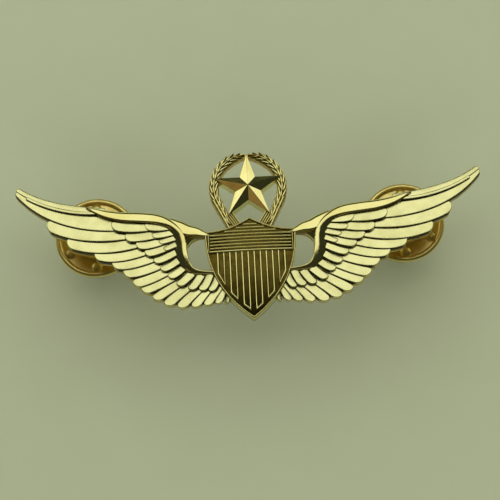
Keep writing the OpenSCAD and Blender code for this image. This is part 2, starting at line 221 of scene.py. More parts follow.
@dataclass(frozen=True)
class Metal:
    """A plated or lacquered metal surface."""

    name: str
    bright: str
    tarnish: str
    painted_shade: str
    smooth: float = 0.1
    rough: float = 0.22
    patch: float = 3.0
    grain: float = 0.3
    grain_depth: float = 0.0015
    barb_pitch: float = 0.0
    barb_depth: float = 0.0
    coat: float = 0.0
    coat_rough: float = 0.08
    barb_slant: float = 0.9
    # Noise values between which the tarnish and the roughness come in, and edge values between
    # which the painted shade comes in, with how far the tarnish and the painted shade go.
    tarnish_span: Point = (0.42, 0.78)
    tarnish_share: float = 0.75
    gloss_span: Point = (0.3, 0.7)
    painted_shade_span: Point = (0.2, 0.7)
    painted_shade_share: float = 0.95

    def make(self) -> Material:
        """Builds the material from its sizes, which are in millimetres.

        Returns:
            The finished material.
        """
        material = bpy.data.materials.new(self.name)
        material.use_nodes = True
        tree = material.node_tree
        shader = tree.nodes["Principled BSDF"]
        shader.inputs["Metallic"].default_value = 1.0
        shader.inputs["Coat Weight"].default_value = self.coat
        shader.inputs["Coat Roughness"].default_value = self.coat_rough
        where = add_node(tree, "ShaderNodeTexCoord")
        patches, grain = (
            add_node(
                tree, "ShaderNodeTexNoise",
                {"Scale": 1 / (size * MM), "Detail": detail, "Roughness": roughness},
                {"Vector": where.outputs["Object"]},
            )
            for size, detail, roughness in ((self.patch, 4.0, 0.6), (self.grain, 3.0, 0.65))
        )
        edge = add_node(tree, "ShaderNodeAttribute", {"attribute_name": "edge"})
        # Tarnish patches, the painted shade set by the edge attribute, and roughness patches.
        worn, shade_amount, gloss = (
            add_node(
                tree, "ShaderNodeMapRange",
                {"From Min": span[0], "From Max": span[1], "To Min": least, "To Max": most},
                {"Value": source.outputs["Fac"]},
            )
            for source, span, least, most in (
                (patches, self.tarnish_span, 0.0, self.tarnish_share),
                (edge, self.painted_shade_span, 0.0, self.painted_shade_share),
                (patches, self.gloss_span, self.smooth, self.rough),
            )
        )
        plate = add_node(
            tree, "ShaderNodeMix",
            {"data_type": "RGBA", 6: linear(self.bright), 7: linear(self.tarnish)},
            {0: worn.outputs["Result"]},
        )
        # Lays the painted shade colour over the plate where the edge attribute is high.
        colour = add_node(
            tree, "ShaderNodeMix",
            {"data_type": "RGBA", 7: linear(self.painted_shade)},
            {0: shade_amount.outputs["Result"], 6: plate.outputs[2]},
        )
        tree.links.new(colour.outputs[2], shader.inputs["Base Color"])
        tree.links.new(gloss.outputs["Result"], shader.inputs["Roughness"])
        relief = add_node(
            tree, "ShaderNodeBump",
            {"Strength": 1.0, "Distance": self.grain_depth * MM},
            {"Height": grain.outputs["Fac"]},
        )
        if self.barb_depth:
            relief = self.barbs(tree, where, relief)
        tree.links.new(relief.outputs["Normal"], shader.inputs["Normal"])
        return material

    def barbs(
        self, tree: bpy.types.NodeTree, where: bpy.types.Node, below: bpy.types.Node
    ) -> bpy.types.Node:
        """Adds the fine lines that the die leaves along a feather, slanted from its middle.

        Args:
            tree: The material's node tree.
            where: The texture coordinates.
            below: The bump node that the lines lie on.

        Returns:
            The bump node with the lines.
        """
        plan = add_node(tree, "ShaderNodeSeparateXYZ", None, {"Vector": where.outputs["UV"]})
        aside = add_node(
            tree, "ShaderNodeMath", {"operation": "ABSOLUTE"}, {0: plan.outputs["Y"]}
        )
        slant = add_node(
            tree, "ShaderNodeMath", {"operation": "MULTIPLY_ADD", 1: -self.barb_slant},
            {0: aside.outputs[0], 2: plan.outputs["X"]},
        )
        turns = add_node(
            tree, "ShaderNodeMath", {"operation": "MULTIPLY", 1: math.tau / self.barb_pitch},
            {0: slant.outputs[0]},
        )
        ripple = add_node(tree, "ShaderNodeMath", {"operation": "SINE"}, {0: turns.outputs[0]})
        return add_node(
            tree, "ShaderNodeBump", {"Strength": 1.0, "Distance": self.barb_depth * MM},
            {"Height": ripple.outputs[0], "Normal": below.outputs["Normal"]},
        )


# Bright gold over polished brass: a pale yellow mirror with faint cloudy patches. Its third colour is
# painted shade on the arm's side towards the feathers, the sides of the shield's raised lines and the
# edges of the wreath's leaves and stems.
POLISHED_GOLD = Metal("polished_gold_plate", "#F1EBA2", "#E2D47A", "#7A6220", 0.07, 0.16)
# Gold over struck brass: flat blades with a soft sheen, fine barb lines, and painted shade along each
# feather's proud lip where it steps down to the next.
# The real barbs stand about 0.1 mm apart, and are drawn three times as coarse so that they show.
FEATHER_GOLD = Metal(
    "struck_gold_plate", "#EFEEAE", "#E3E198", "#3A3010", 0.2, 0.32,
    patch=2.2, grain=0.2, grain_depth=0.0015, barb_pitch=0.3, barb_depth=0.0016,
)
# The badge's back: gold over as-struck brass, satin and finely pitted.
BACK_GOLD = Metal(
    "satin_gold_plate", "#E2C878", "#BE9E50", "#8A6A22", 0.3, 0.48,
    patch=2.0, grain=0.14, grain_depth=0.006,
)
# The sunk ground of the shield: a fine blasted texture, painted dark to stand for the shade between the
# bright raised lines.
BLASTED_GROUND_WITH_PAINTED_SHADE = Metal(
    "blasted_gold_ground_with_painted_shade", "#5E521E", "#2A220A", "#1A1304", 0.16, 0.28,
    patch=1.2, grain=0.1, grain_depth=0.004,
)
# Clutch brass under an amber lacquer: warm and glossy, with brown reflections.
AMBER_BRASS = Metal(
    "lacquered_brass", "#F6E48E", "#E6CA6A", "#7A5A1C", 0.27, 0.44,
    patch=1.8, grain=0.25, grain_depth=0.003, coat=0.2,
)
# Hard-drawn brass wire: bright, with fine drawing marks.
SPRING_WIRE = Metal("drawn_brass_wire", "#DDBF74", "#B08E44", "#6B4312", 0.18, 0.3, grain=0.08)
# Brass post with the brown bloom that a brazing flame leaves.
BRAZED_BRASS = Metal(
    "brazed_brass", "#DDBE6C", "#A87A38", "#6B4312", 0.22, 0.38,
    patch=0.9, grain=0.12, grain_depth=0.004,
)


# ---------------------------------------------------------------- forms


@dataclass(frozen=True)
class Spot:
    """One point of a raised form: its place, where it lies on its own plan, and how much painted shade it
    takes, mostly near an edge.
    """

    place: Vector
    plan: Point = (0.0, 0.0)
    edge: float = 0.0


class Form:
    """A mesh in the making, in millimetres."""

    def __init__(self) -> None:
        """Starts an empty mesh with a plan for its patterns and an edge value that sets its painted shade.
        """
        self.bm = bmesh.new()
        self.plan = self.bm.loops.layers.uv.new("plan")
        self.edge = self.bm.verts.layers.float.new("edge")

    def lay(
        self, along: int, across: int, spot: Callable[[float, float], Spot], closed: bool = False
    ) -> list[bmesh.types.BMFace]:
        """Lays a grid out over a surface.

        Args:
            along: Faces along the surface.
            across: Faces across it.
            spot: The point at a share along, from 0 to 1, and a share across, from -1 to 1.
            closed: Whether the grid's ends meet and are merged.

        Returns:
            The grid's faces.
        """
        made = bmesh.ops.create_grid(self.bm, x_segments=along, y_segments=across, size=0.5)
        verts = made["verts"]
        for vert in verts:
            here = spot(vert.co.x + 0.5, vert.co.y * 2)
            vert.co = here.place
            vert[self.edge] = here.edge
            for loop in vert.link_loops:
                loop[self.plan].uv = here.plan
        if closed:
            bmesh.ops.remove_doubles(self.bm, verts=verts, dist=1e-4)
            verts = [vert for vert in verts if vert.is_valid]
        return list({face for vert in verts for face in vert.link_faces})

    def raise_sheet(
        self, along: int, across: int, spot: Callable[[float, float], Spot], floor: float,
        closed: bool = False, finish: int = 0,
    ) -> list[bmesh.types.BMVert]:
        """Adds a closed solid: a surface laid out by spot, with walls down to a flat floor.

        Args:
            along: Faces along the surface.
            across: Faces across it.
            spot: The point at a share along, from 0 to 1, and a share across, from -1 to 1.
            floor: Height of the flat underside.
            closed: Whether the surface runs round and meets itself.
            finish: Number of the piece's finish that the solid takes.

        Returns:
            The solid's vertices.
        """
        top = self.lay(along, across, spot, closed)
        made = bmesh.ops.extrude_face_region(self.bm, geom=top, use_keep_orig=True)["geom"]
        low = [item for item in made if isinstance(item, bmesh.types.BMVert)]
        for vert in low:
            vert.co.z = floor
        under = [item for item in made if isinstance(item, bmesh.types.BMFace)]
        verts = list({vert for face in top for vert in face.verts}) + low
        faces = {face for vert in verts for face in vert.link_faces}
        for face in faces:
            face.material_index = finish
        if not closed:
            bmesh.ops.dissolve_faces(self.bm, faces=under)
        return [vert for vert in verts if vert.is_valid]

    def turn(
        self, profile: Sequence[Point], steps: int, ring: bool = True
    ) -> list[bmesh.types.BMFace]:
        """Spins a profile of (radius, height) points once round the Z axis.

        Args:
            profile: The profile's points in order.
            steps: Faces round the axis.
            ring: Whether the profile's last point joins its first.

        Returns:
            The spun faces.
        """
        verts = [self.bm.verts.new((radius, 0, height)) for radius, height in profile]
        pairs = list(zip(verts, verts[1:])) + ([(verts[-1], verts[0])] if ring else [])
        edges = [self.bm.edges.new(pair) for pair in pairs]
        before = set(self.bm.faces)
        bmesh.ops.spin(
            self.bm, geom=[*verts, *edges], cent=(0, 0, 0), axis=(0, 0, 1),
            angle=math.tau, steps=steps, use_merge=True,
        )
        faces = [face for face in self.bm.faces if face not in before]
        spun = list({vert for face in faces for vert in face.verts})
        bmesh.ops.remove_doubles(self.bm, verts=spun, dist=1e-4)
        return [face for face in faces if face.is_valid]

    def wire(self, path: Callable[[float], Vector], radius: float, steps: int) -> None:
        """Adds a closed round wire along a level path.

        Args:
            path: The wire's centre at a share of its length, from 0 to 1.
            radius: The wire's radius.
            steps: Faces along the wire.
        """

        def skin(u: float, v: float) -> Spot:
            """A point of the wire's skin.

            Args:
                u: Share along the wire.
                v: Share round it, from -1 to 1.

            Returns:
                The point.
            """
            step = 0.5 / steps
            way = path(min(u + step, 1)) - path(max(u - step, 0))
            out = Vector((-way.y, way.x, 0)).normalized()
            turn = math.pi * v
            return Spot(path(u) + radius * (math.cos(turn) * out + Vector((0, 0, math.sin(turn)))))

        faces = self.lay(steps, 14, skin, closed=True)
        ends = [edge for face in faces for edge in face.edges if edge.is_boundary]
        bmesh.ops.holes_fill(self.bm, edges=list(set(ends)), sides=0)

    def bevel(self, edges: Iterable[bmesh.types.BMEdge], width: float) -> None:
        """Rounds edges over.

        Args:
            edges: The edges.
            width: How far the rounding reaches on each side of an edge.
        """
        bmesh.ops.bevel(
            self.bm, geom=list(edges), offset=width, offset_type="OFFSET", affect="EDGES",
            segments=2, profile=0.5, material=-1, clamp_overlap=True,
        )

    def shift(self, verts: Iterable[bmesh.types.BMVert], matrix: Matrix) -> None:
        """Moves vertices by a matrix."""
        bmesh.ops.transform(self.bm, matrix=matrix, verts=list(verts))

    def piece(
        self, name: str, finishes: Sequence[Material], body: str, slot: Slot,
        stands_for: Sequence[str] = (), sharp: float = 40.0,
    ) -> bpy.types.Object:
        """Turns the mesh into a piece of the badge.

        Args:
            name: The piece's name.
            finishes: Its materials, in the order of their numbers.
            body: The CAD body that it rides on.
            slot: The record's material slot that it belongs to; not used.
            stands_for: CAD nodes that it replaces.
            sharp: Angle in degrees past which an edge stays crisp.

        Returns:
            The piece.
        """
        bmesh.ops.recalc_face_normals(self.bm, faces=self.bm.faces)
        bmesh.ops.scale(self.bm, vec=(MM, MM, MM), verts=self.bm.verts)
        mesh = bpy.data.meshes.new(name)
        self.bm.to_mesh(mesh)
        self.bm.free()
        for finish in finishes:
            mesh.materials.append(finish)
        mesh.shade_smooth()
        mesh.set_sharp_from_angle(angle=math.radians(sharp))
        piece = bpy.data.objects.new(name, mesh)
        bpy.context.scene.collection.objects.link(piece)
        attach(piece, body)
        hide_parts(*stands_for)
        LOG.info("%s: %d faces, rides on %s", name, len(mesh.polygons), body)
        return piece


def box_mm(node: str) -> tuple[Vector, Vector]:
    """Lowest and highest corners of a CAD node, in millimetres."""
    low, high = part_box(node)
    return low / MM, high / MM


def backing(
    name: str, node: str, cut: float, finish: Material, slot: Slot
) -> bpy.types.Object:
    """Makes a piece's flat lower part from a copy of its CAD node, cut off level.

    Args:
        name: The piece's name.
        node: The CAD node that is copied and replaced.
        cut: Height of the level cut.
        finish: The material.
        slot: The record's material slot.

    Returns:
        The piece.
    """
    form = Form()
    form.bm.from_mesh(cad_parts[node].data)
    bmesh.ops.scale(form.bm, vec=(1 / MM, 1 / MM, 1 / MM), verts=form.bm.verts)
    bmesh.ops.remove_doubles(form.bm, verts=form.bm.verts, dist=0.002)
    everything = [*form.bm.verts, *form.bm.edges, *form.bm.faces]
    made = bmesh.ops.bisect_plane(
        form.bm, geom=everything, dist=1e-5, plane_co=(0, 0, cut), plane_no=(0, 0, 1), clear_outer=True
    )
    rim = [item for item in made["geom_cut"] if isinstance(item, bmesh.types.BMEdge)]
    bmesh.ops.triangle_fill(form.bm, use_beauty=True, edges=rim, normal=(0, 0, 1))
    bmesh.ops.dissolve_limit(
        form.bm, angle_limit=math.radians(0.5), verts=form.bm.verts, edges=form.bm.edges
    )
    return form.piece(name, [finish], "emblem", slot, [node], sharp=25)


# ---------------------------------------------------------------- wings


@dataclass(frozen=True)
class Feather:
    """One feather's plan: a curved centre line, and its width at the root and at the tip."""

    root: Point
    bend: Point
    tip: Point
    root_w: float
    tip_w: float

    def middle(self, t: float) -> Vector:
        """A point on the centre line."""
        return bezier((self.root, self.bend, self.tip), t)

    def way(self, t: float) -> Vector:
        """The direction of the centre line.

        Args:
            t: Share of the way from root to tip.

        Returns:
            The direction there, one long.
        """
        first = Vector(self.bend) - Vector(self.root)
        last = Vector(self.tip) - Vector(self.bend)
        return first.lerp(last, t).normalized()

    @property
    def length(self) -> float:
        """Length of the centre line, near enough for a pattern."""
        half_way = self.middle(0.5)
        return (half_way - Vector(self.root)).length + (Vector(self.tip) - half_way).length


@dataclass(frozen=True)
class Blade:
    """How a feather's section is shaped: a crowned top, a rounded lip and a lean down to one side."""

    # The rounding on the proud edge, and on the edge that the next feather covers.
    lip_w: float = 0.22
    lip_drop: float = 0.26
    far_lip: float = 0.1
    crown: float = 0.04
    lean: float = 0.16
    tip_lean: float = 0.55
    along: int = 40
    across: int = 18
    body_share: float = 0.7
    tip_turn: float = math.radians(86)
    lip_share: float = 0.45
    proud_from: float = 0.3
    proud_over: float = 0.4

    def spot(
        self, feather: Feather, top: float, u: float, v: float
    ) -> tuple[Vector, float, Point, float]:
        """Works out one point of a feather's top.

        Args:
            feather: The feather's plan.
            top: Height of its proud edge.
            u: Share along, from root to tip.
            v: Share across, from -1 at the proud edge to 1.

        Returns:
            The point's place in plan, its height, its place on the pattern and its edge value.
        """
        t = min(u / self.body_share, 1)
        turn = max(u - self.body_share, 0) / (1 - self.body_share) * self.tip_turn
        full = mix(feather.root_w, feather.tip_w, t) / 2
        half = full * math.cos(turn)
        past = full * math.sin(turn)
        lip = min(self.lip_w if v < 0 else self.far_lip, half * self.lip_share)
        flat = half - lip
        if abs(v) <= 0.5:
            aside = flat * v * 2
        else:
            aside = math.copysign(flat + lip * math.sin((abs(v) - 0.5) * math.pi), v)
        way = feather.way(t)
        leant = self.tip_lean * aside * t**3
        place = feather.middle(t) + way * past + left_of(way) * aside + feather.way(1) * leant
        proud = min(max((-aside / full - self.proud_from) / self.proud_over, 0), 1)
        proud *= 1 - past / full
        inside = full - math.hypot(past, aside)
        near = min(max(1 - inside / mix(self.far_lip, self.lip_w, proud), 0), 1)
        drop = mix(self.far_lip, self.lip_drop, proud)
        height = top - drop * (1 - math.sqrt(max(1 - near**2, 0)))
        height += self.crown * (1 - (aside / full) ** 2) - self.lean * (aside / full + 1) / 2
        # The edge value paints shade on the proud lip, where the feather steps down to the next one.
        return place, height, (feather.length * t + past, aside), near * proud


@dataclass
class Wing:
    """One struck wing: a flat back, three rows of feathers, the leading blade and the arm."""

    side: Side
    drawn_side: float = 6.2
    drawn_reach: float = 25.5
    back_t: float = 0.78
    sunk: float = 0.1
    inset: float = 0.02
    feather_step: float = 0.035
    # Height of each row's first proud edge.
    flight_top: float = 1.525
    covert_top: float = 1.91
    short_top: float = 2.05
    blade_lift: float = 0.1
    leading_feathers: int = 2
    arm_steps: int = 110
    neck_steps: int = 50
    tube_base: float = 1.3
    # Power of the tube's section where its crest is in the middle, and how much it rises or falls
    # where the crest lies to the feathers' side or to the other.
    tube_power: float = 2.4
    tube_flatter: float = 5.0
    tube_rounder: float = 0.9
    # Where painted shade starts across the tube, towards the feathers' side, and how fast it deepens.
    shaded_from: float = 0.72
    shade_gain: float = 4.0
    gusset_start: float = 0.15
    gusset_low: float = 1.25
    gusset_rise: float = 0.75
    section: Blade = Blade()
    leading_section: Blade = Blade(tip_lean=0.0)
    narrow_section: Blade = Blade(
        lip_w=0.1, lip_drop=0.12, crown=0.03, lean=0.0, tip_lean=0.0, across=12
    )
    flight: tuple[Feather, ...] = (
        Feather((19.6, 9.1), (27.3, 9.8), (31.2, 12.65), 1.1, 0.8),
        Feather((18.0, 7.3), (26.5, 7.2), (31.1, 12.1), 2.5, 1.2),
        Feather((15.5, 5.9), (22.3, 4.95), (26.7, 7.2), 1.9, 1.7),
        Feather((13.5, 4.9), (19.5, 3.0), (24.0, 4.65), 1.7, 1.6),
        Feather((12.0, 4.0), (17.5, 1.8), (20.4, 2.75), 1.5, 1.4),
        Feather((10.5, 3.2), (15.9, 1.0), (18.0, 1.45), 1.5, 1.45),
        Feather((10.2, 2.2), (14.1, 0.2), (16.4, 0.2), 1.55, 1.5),
        Feather((9.8, 1.15), (12.7, -0.6), (15.1, -1.2), 1.55, 1.5),
        Feather((9.2, 0.3), (11.6, -1.3), (14.0, -2.15), 1.5, 1.45),
        Feather((8.4, -0.4), (10.6, -2.0), (12.5, -3.2), 1.5, 1.45),
        Feather((7.4, -1.05), (9.6, -2.7), (10.95, -3.95), 1.6, 1.55),
        Feather((5.8, -1.0), (8.2, -3.2), (9.25, -4.35), 1.6, 1.5),
        Feather((5.2, -1.5), (6.7, -3.2), (7.45, -4.3), 1.55, 1.45),
        Feather((4.4, -2.0), (5.4, -3.4), (5.85, -4.15), 1.5, 1.35),
        Feather((3.8, -2.0), (4.2, -3.2), (4.5, -4.0), 1.5, 1.2),
        Feather((3.0, -2.4), (3.3, -3.5), (3.45, -4.15), 0.9, 0.7),
    )
    coverts: tuple[Feather, ...] = (
        Feather((11.5, 6.7), (15.9, 6.1), (18.0, 6.7), 1.6, 1.4),
        Feather((10.6, 5.8), (14.3, 4.8), (16.2, 5.0), 1.4, 1.3),
        Feather((10.2, 4.9), (13.4, 3.6), (14.8, 3.85), 1.3, 1.2),
        Feather((9.9, 4.0), (12.4, 2.85), (13.6, 2.75), 1.25, 1.2),
        Feather((9.4, 3.1), (11.4, 1.85), (12.5, 1.65), 1.2, 1.1),
        Feather((9.4, 1.8), (10.7, 0.75), (11.6, 0.5), 1.15, 1.1),
        Feather((8.9, 0.65), (9.9, -0.3), (10.6, -0.55), 1.15, 1.1),
        Feather((8.0, -0.35), (8.9, -1.25), (9.4, -1.6), 1.3, 1.2),
        Feather((6.8, -0.65), (7.3, -1.55), (7.85, -2.15), 1.25, 1.2),
        Feather((5.6, -0.6), (6.1, -2.0), (6.5, -2.35), 1.2, 1.15),
        Feather((4.6, -1.0), (4.9, -2.0), (5.3, -2.5), 1.1, 1.05),
    )
    short_coverts: tuple[Feather, ...] = (
        Feather((10.2, 6.4), (12.2, 6.1), (13.5, 6.35), 1.3, 1.25),
        Feather((9.8, 5.6), (11.6, 5.1), (12.7, 5.1), 1.1, 1.0),
        Feather((9.6, 4.8), (11.1, 4.35), (11.8, 4.2), 1.0, 0.9),
        Feather((9.4, 4.0), (10.6, 3.5), (11.2, 3.25), 1.0, 0.9),
    )
    leading_blade: Feather = Feather((20.8, 8.85), (25.7, 8.88), (30.0, 11.4), 0.5, 0.5)
    # Centre line of the arm and shoulder, with the tube's half width, its height, and where its
    # crest lies: from 1 on the feathers' side to -1 on the other.
    arm: tuple[Station, ...] = (
        (22.1, 9.7, 0.06, 1.7, 0.3),
        (21.0, 9.2, 0.36, 1.96, 0.35),
        (19.2, 8.5, 0.62, 2.1, 0.45),
        (17.2, 8.05, 0.78, 2.2, 0.5),
        (15.0, 7.82, 0.85, 2.28, 0.5),
        (12.9, 7.52, 0.86, 2.34, 0.4),
        (11.4, 6.95, 0.86, 2.38, 0.15),
        (10.2, 5.95, 0.88, 2.38, -0.25),
        (9.55, 4.5, 0.95, 2.32, -0.7),
        (9.38, 2.6, 0.94, 2.22, -0.8),
        (8.92, 1.05, 0.8, 2.1, -0.8),
        (8.08, 0.05, 0.56, 1.98, -0.75),
        (6.9, -0.3, 0.4, 1.88, -0.6),
        (5.2, -0.36, 0.28, 1.8, -0.3),
    )
    # Edge of the opening, from the shield's corner round to the shoulder.
    opening: tuple[Point, ...] = ((6.3, 4.85), (8.1, 4.85), (8.8, 3.6), (8.8, 2.3))
    # The gusset's far edge, under the arm.
    gusset_core: tuple[Point, Point] = ((9.2, 6.2), (9.5, 2.4))
    # Centre line of the neck that joins the shoulder to the shield's corner.
    neck: tuple[Station, ...] = (
        (10.9, 7.1, 0.66, 2.16, 0.2),
        (9.6, 6.25, 1.0, 2.24, 0.4),
        (8.5, 5.66, 1.0, 2.2, 0.4),
        (7.3, 5.42, 0.8, 2.08, 0.4),
        (6.2, 5.1, 0.46, 1.86, 0.4),
        (5.3, 4.9, 0.2, 1.62, 0.3),
    )

    def __post_init__(self) -> None:
        """Takes the wing's stretch from its CAD node and the shield's."""
        low, high = box_mm(f"{self.side.word}_wing")
        self.shield_half = box_mm("shield")[1].x
        reach = max(abs(low.x), abs(high.x)) - self.shield_half
        top = max(feather.tip[1] + feather.tip_w / 2 for feather in self.flight)
        self.stretch = Vector((reach / self.drawn_reach, high.y / top))

    def at(self, drawn: Vector, height: float) -> Vector:
        """A drawn point's place on this side of the badge."""
        x = self.shield_half + (drawn.x - self.drawn_side) * self.stretch.x
        return Vector((self.side.value * x, drawn.y * self.stretch.y, height))

    def add_feather(self, form: Form, feather: Feather, top: float, section: Blade) -> None:
        """Adds one feather as a closed solid that stands on the wing's back.

        Args:
            form: The mesh to add to.
            feather: The feather's plan.
            top: Height of its proud edge.
            section: How its section is shaped.
        """

        def spot(u: float, v: float) -> Spot:
            """A point of the feather's top, at shares along and across."""
            place, height, plan, edge = section.spot(feather, top, u, v)
            return Spot(self.at(place, height), plan, edge)

        form.raise_sheet(section.along, section.across, spot, self.back_t - self.sunk)

    def build_row(
        self, name: str, feathers: Sequence[Feather], top: float, finish: Material
    ) -> bpy.types.Object:
        """Builds one row of overlapping feathers, each a little lower than the one before.

        Args:
            name: What the row is called.
            feathers: The row's feathers from the arm down.
            top: Height of the first one's proud edge.
            finish: The row's material.

        Returns:
            The row.
        """
        form = Form()
        for i, feather in enumerate(feathers):
            leading = name == "flight_feathers" and i < self.leading_feathers
            section = self.leading_section if leading else self.section
            self.add_feather(form, feather, top - i * self.feather_step, section)
        return form.piece(f"{self.side.word}_{name}", [finish], "emblem", Slot.WING)

    def add_tube(self, form: Form, stations: Sequence[Station], steps: int) -> None:
        """Adds a rounded bar along a line of stations.

        Args:
            form: The mesh to add to.
            stations: Places on the centre line, each with a half width, a height and a crest.
            steps: Faces along the bar.
        """
        line = Track(stations)

        def spot(u: float, v: float) -> Spot:
            """A point of the bar's top.

            Args:
                u: Share along the bar.
                v: Share across it, from -1 to 1.

            Returns:
                The point.
            """
            x, y, half, top, peak = line.at(u)
            across = eased(v)
            off = abs(across - peak) / (1 + peak if across < peak else 1 - peak)
            power = self.tube_power + peak * (self.tube_flatter if peak > 0 else self.tube_rounder)
            height = mix(self.tube_base, top, max(1 - off**power, 0) ** 0.5)
            drawn = Vector((x, y)) + left_of(line.way(u)) * half * across
            # Paints shade down the tube's side towards the feathers.
            edge = max(across - self.shaded_from, 0) * self.shade_gain
            return Spot(self.at(drawn, height), (u * steps * 0.3, across), edge)

        form.raise_sheet(steps, 20, spot, self.back_t - self.sunk)

    def add_gusset(self, form: Form) -> None:
        """Fills the corner between the shoulder and the neck, along the opening's edge.

        Args:
            form: The mesh to add to.
        """

        def spot(u: float, v: float) -> Spot:
            """A point of the gusset's top.

            Args:
                u: Share along the opening's edge.
                v: Share across, from -1 at that edge to 1 under the arm.

            Returns:
                The point.
            """
            rim = bezier(self.opening, mix(self.gusset_start, 1, u))
            core = bezier(self.gusset_core, u)
            share = (v + 1) / 2
            height = self.gusset_low + self.gusset_rise * share
            return Spot(self.at(rim.lerp(core, share), height), (u * 4, share))

        form.raise_sheet(20, 8, spot, self.back_t - self.sunk)

    def build(self, gold: Material, feather_gold: Material, back: Material) -> None:
        """Builds and reports the wing's pieces.

        Args:
            gold: Finish of the arm.
            feather_gold: Finish of the feathers.
            back: Finish of the flat back.
        """
        word = self.side.word
        backing(f"{word}_wing_back", f"{word}_wing", self.back_t, back, Slot.WING)
        self.build_row("flight_feathers", self.flight, self.flight_top, feather_gold)
        self.build_row("long_coverts", self.coverts, self.covert_top, feather_gold)
        self.build_row("short_coverts", self.short_coverts, self.short_top, feather_gold)
        blade = Form()
        self.add_feather(
            blade, self.leading_blade, self.flight_top + self.blade_lift, self.narrow_section
        )
        blade.piece(f"{word}_leading_blade", [feather_gold], "emblem", Slot.WING)
        arm = Form()
        self.add_tube(arm, self.arm, self.arm_steps)
        self.add_tube(arm, self.neck, self.neck_steps)
        self.add_gusset(arm)
        arm.piece(f"{word}_arm", [gold], "emblem", Slot.WING)


# ---------------------------------------------------------------- shield


@dataclass
class Shield:
    """The shield: a domed block with a rim, a ruled chief and outlined stripes."""

    bulge: float = 1.0055
    shoulder_drop: float = 1.6
    # How far each end of an inset line moves, as a share of the inset.
    top_inset: float = 0.9
    point_inset: float = 1.4
    # Bends of the side and of the top edge: shares of the half width, then how far up or down.
    belly_w: float = 1.015
    belly_y: float = -0.8
    belly_from_top: float = 0.28
    belly_from_point: float = 0.14
    flank: Point = (0.68, 0.57)
    crown_dip: Point = (0.6, 0.1)
    crown_rise: Point = (0.3, 1.1)
    chief_floor: float = 2.4
    rim_w: float = 0.3
    # The ground's dome.
    crest: float = 2.2
    ground_drop: float = 0.1
    side_fall: float = 0.017
    end_fall: float = 0.0075
    high_y: float = 3.5
    rim_lift: float = 0.04
    rim_h: float = 0.26
    # The raised lines: heights, half widths, and how far they keep from the rim.
    line_h: float = 0.2
    line_half: float = 0.14
    border_half: float = 0.18
    side_line_half: float = 0.08
    stripe_line_half: float = 0.13
    line_drop: float = 0.16
    line_clear: float = 0.16
    line_end_clear: float = 0.42
    shortest_line: float = 0.5
    stripe_clear: float = 0.4
    line_level: float = 0.5
    line_end_y: float = 4.4
    side_line_clear: float = 0.24
    side_line_drop: float = 2.2
    ridge_sunk: float = 1.2
    ridge_drop: float = 0.02
    block_inset: float = 0.05
    rim_floor: float = 0.6
    chief_lines: int = 9
    stripes: int = 6
    stripe_pitch: float = 1.63
    stripe_w: float = 0.82
    stripe_root: float = 0.25

    def __post_init__(self) -> None:
        """Takes the shield's size from its CAD node."""
        high = box_mm("shield")[1]
        self.top = high.y
        self.half = high.x / self.bulge

    def dome(self, x: float, y: float) -> float:
        """Height of the shield's ground, which falls away to its sides and its point."""
        fall = self.side_fall * x * x + self.end_fall * (y - self.high_y) ** 2
        return self.crest - self.ground_drop - fall

    def side_line(self, inset: float, t: float) -> Vector:
        """A point of the right edge.

        Args:
            inset: Distance in from the edge.
            t: Share of the way, from the top corner at 0 to the shield's point at 1.

        Returns:
            The point, in the plane.
        """
        w, top = self.half - inset, self.top - inset * self.top_inset
        low = inset * self.point_inset - self.top
        belly = self.belly_y + low * self.belly_from_point + top * self.belly_from_top
        flank = (w * self.flank[0], low * self.flank[1])
        return bezier(
            ((w, top - self.shoulder_drop), (w * self.belly_w, belly), flank, (0, low)), t
        )

    def crown_line(self, inset: float, t: float) -> Vector:
        """A point of the top edge.

        Args:
            inset: Distance in from the edge.
            t: Share of the way, from the right corner at 0 to the peak at 1.

        Returns:
            The point, in the plane.
        """
        w, top = self.half - inset, self.top - inset * self.top_inset
        corner = top - self.shoulder_drop
        dip = (w * self.crown_dip[0], corner - self.crown_dip[1])
        rise = (w * self.crown_rise[0], top - self.crown_rise[1])
        return bezier(((w, corner), dip, rise, (0, top)), t)

    def round_line(self, inset: float, u: float) -> Vector:
        """A point of the whole edge.

        Args:
            inset: Distance in from the edge.
            u: Share of the way, from the peak clockwise and back.

        Returns:
            The point, in the plane.
        """
        share = u * 4
        right = share <= 2
        part = share if right else 4 - share
        point = self.crown_line(inset, 1 - part) if part <= 1 else self.side_line(inset, part - 1)
        return point if right else Vector((-point.x, point.y))

    def reach_at(self, y: float, inset: float) -> float:
        """How far from the middle a level line stays inside the edge.

        Args:
            y: Height of the line up the shield.
            inset: Distance in from the edge.

        Returns:
            Half the length of the line.
        """
        steps = 160
        crossings = [self.half if y < self.crown_line(inset, 1).y else 0]
        for line in (self.crown_line, self.side_line):
            points = [line(inset, i / steps) for i in range(steps + 1)]
            crossings += [
                a.x for a, b in zip(points, points[1:]) if (a.y - y) * (b.y - y) <= 0 and a.y != b.y
            ]
        return min(crossings)

    def low_at(self, x: float, inset: float) -> float:
        """Height of the lower edge.

        Args:
            x: Distance from the middle.
            inset: Distance in from the edge.

        Returns:
            How far up the shield the edge lies there.
        """
        steps = 160
        points = [self.side_line(inset, i / steps) for i in range(steps + 1)]
        return min(points, key=lambda point: abs(point.x - abs(x)) - point.y * 1e-4).y

    def add_ridge(
        self, form: Form, path: Sequence[Point], half_w: float, steps: int, flat: int
    ) -> None:
        """Adds a rounded raised line on the ground.

        Args:
            form: The mesh to add to.
            path: Corners of the line.
            half_w: Half its width.
            steps: Faces along each of its straight stretches.
            flat: How square its section is; 2 is round.
        """
        corners = [Vector(point) for point in path]
        ways = [(b - a).normalized() for a, b in zip(corners, corners[1:])]
        mitres = []
        for i in range(len(corners)):
            before, after = ways[max(i - 1, 0)], ways[min(i, len(ways) - 1)]
            out = (left_of(before) + left_of(after)).normalized()
            mitres.append(out / max(out.dot(left_of(after)), 0.5))

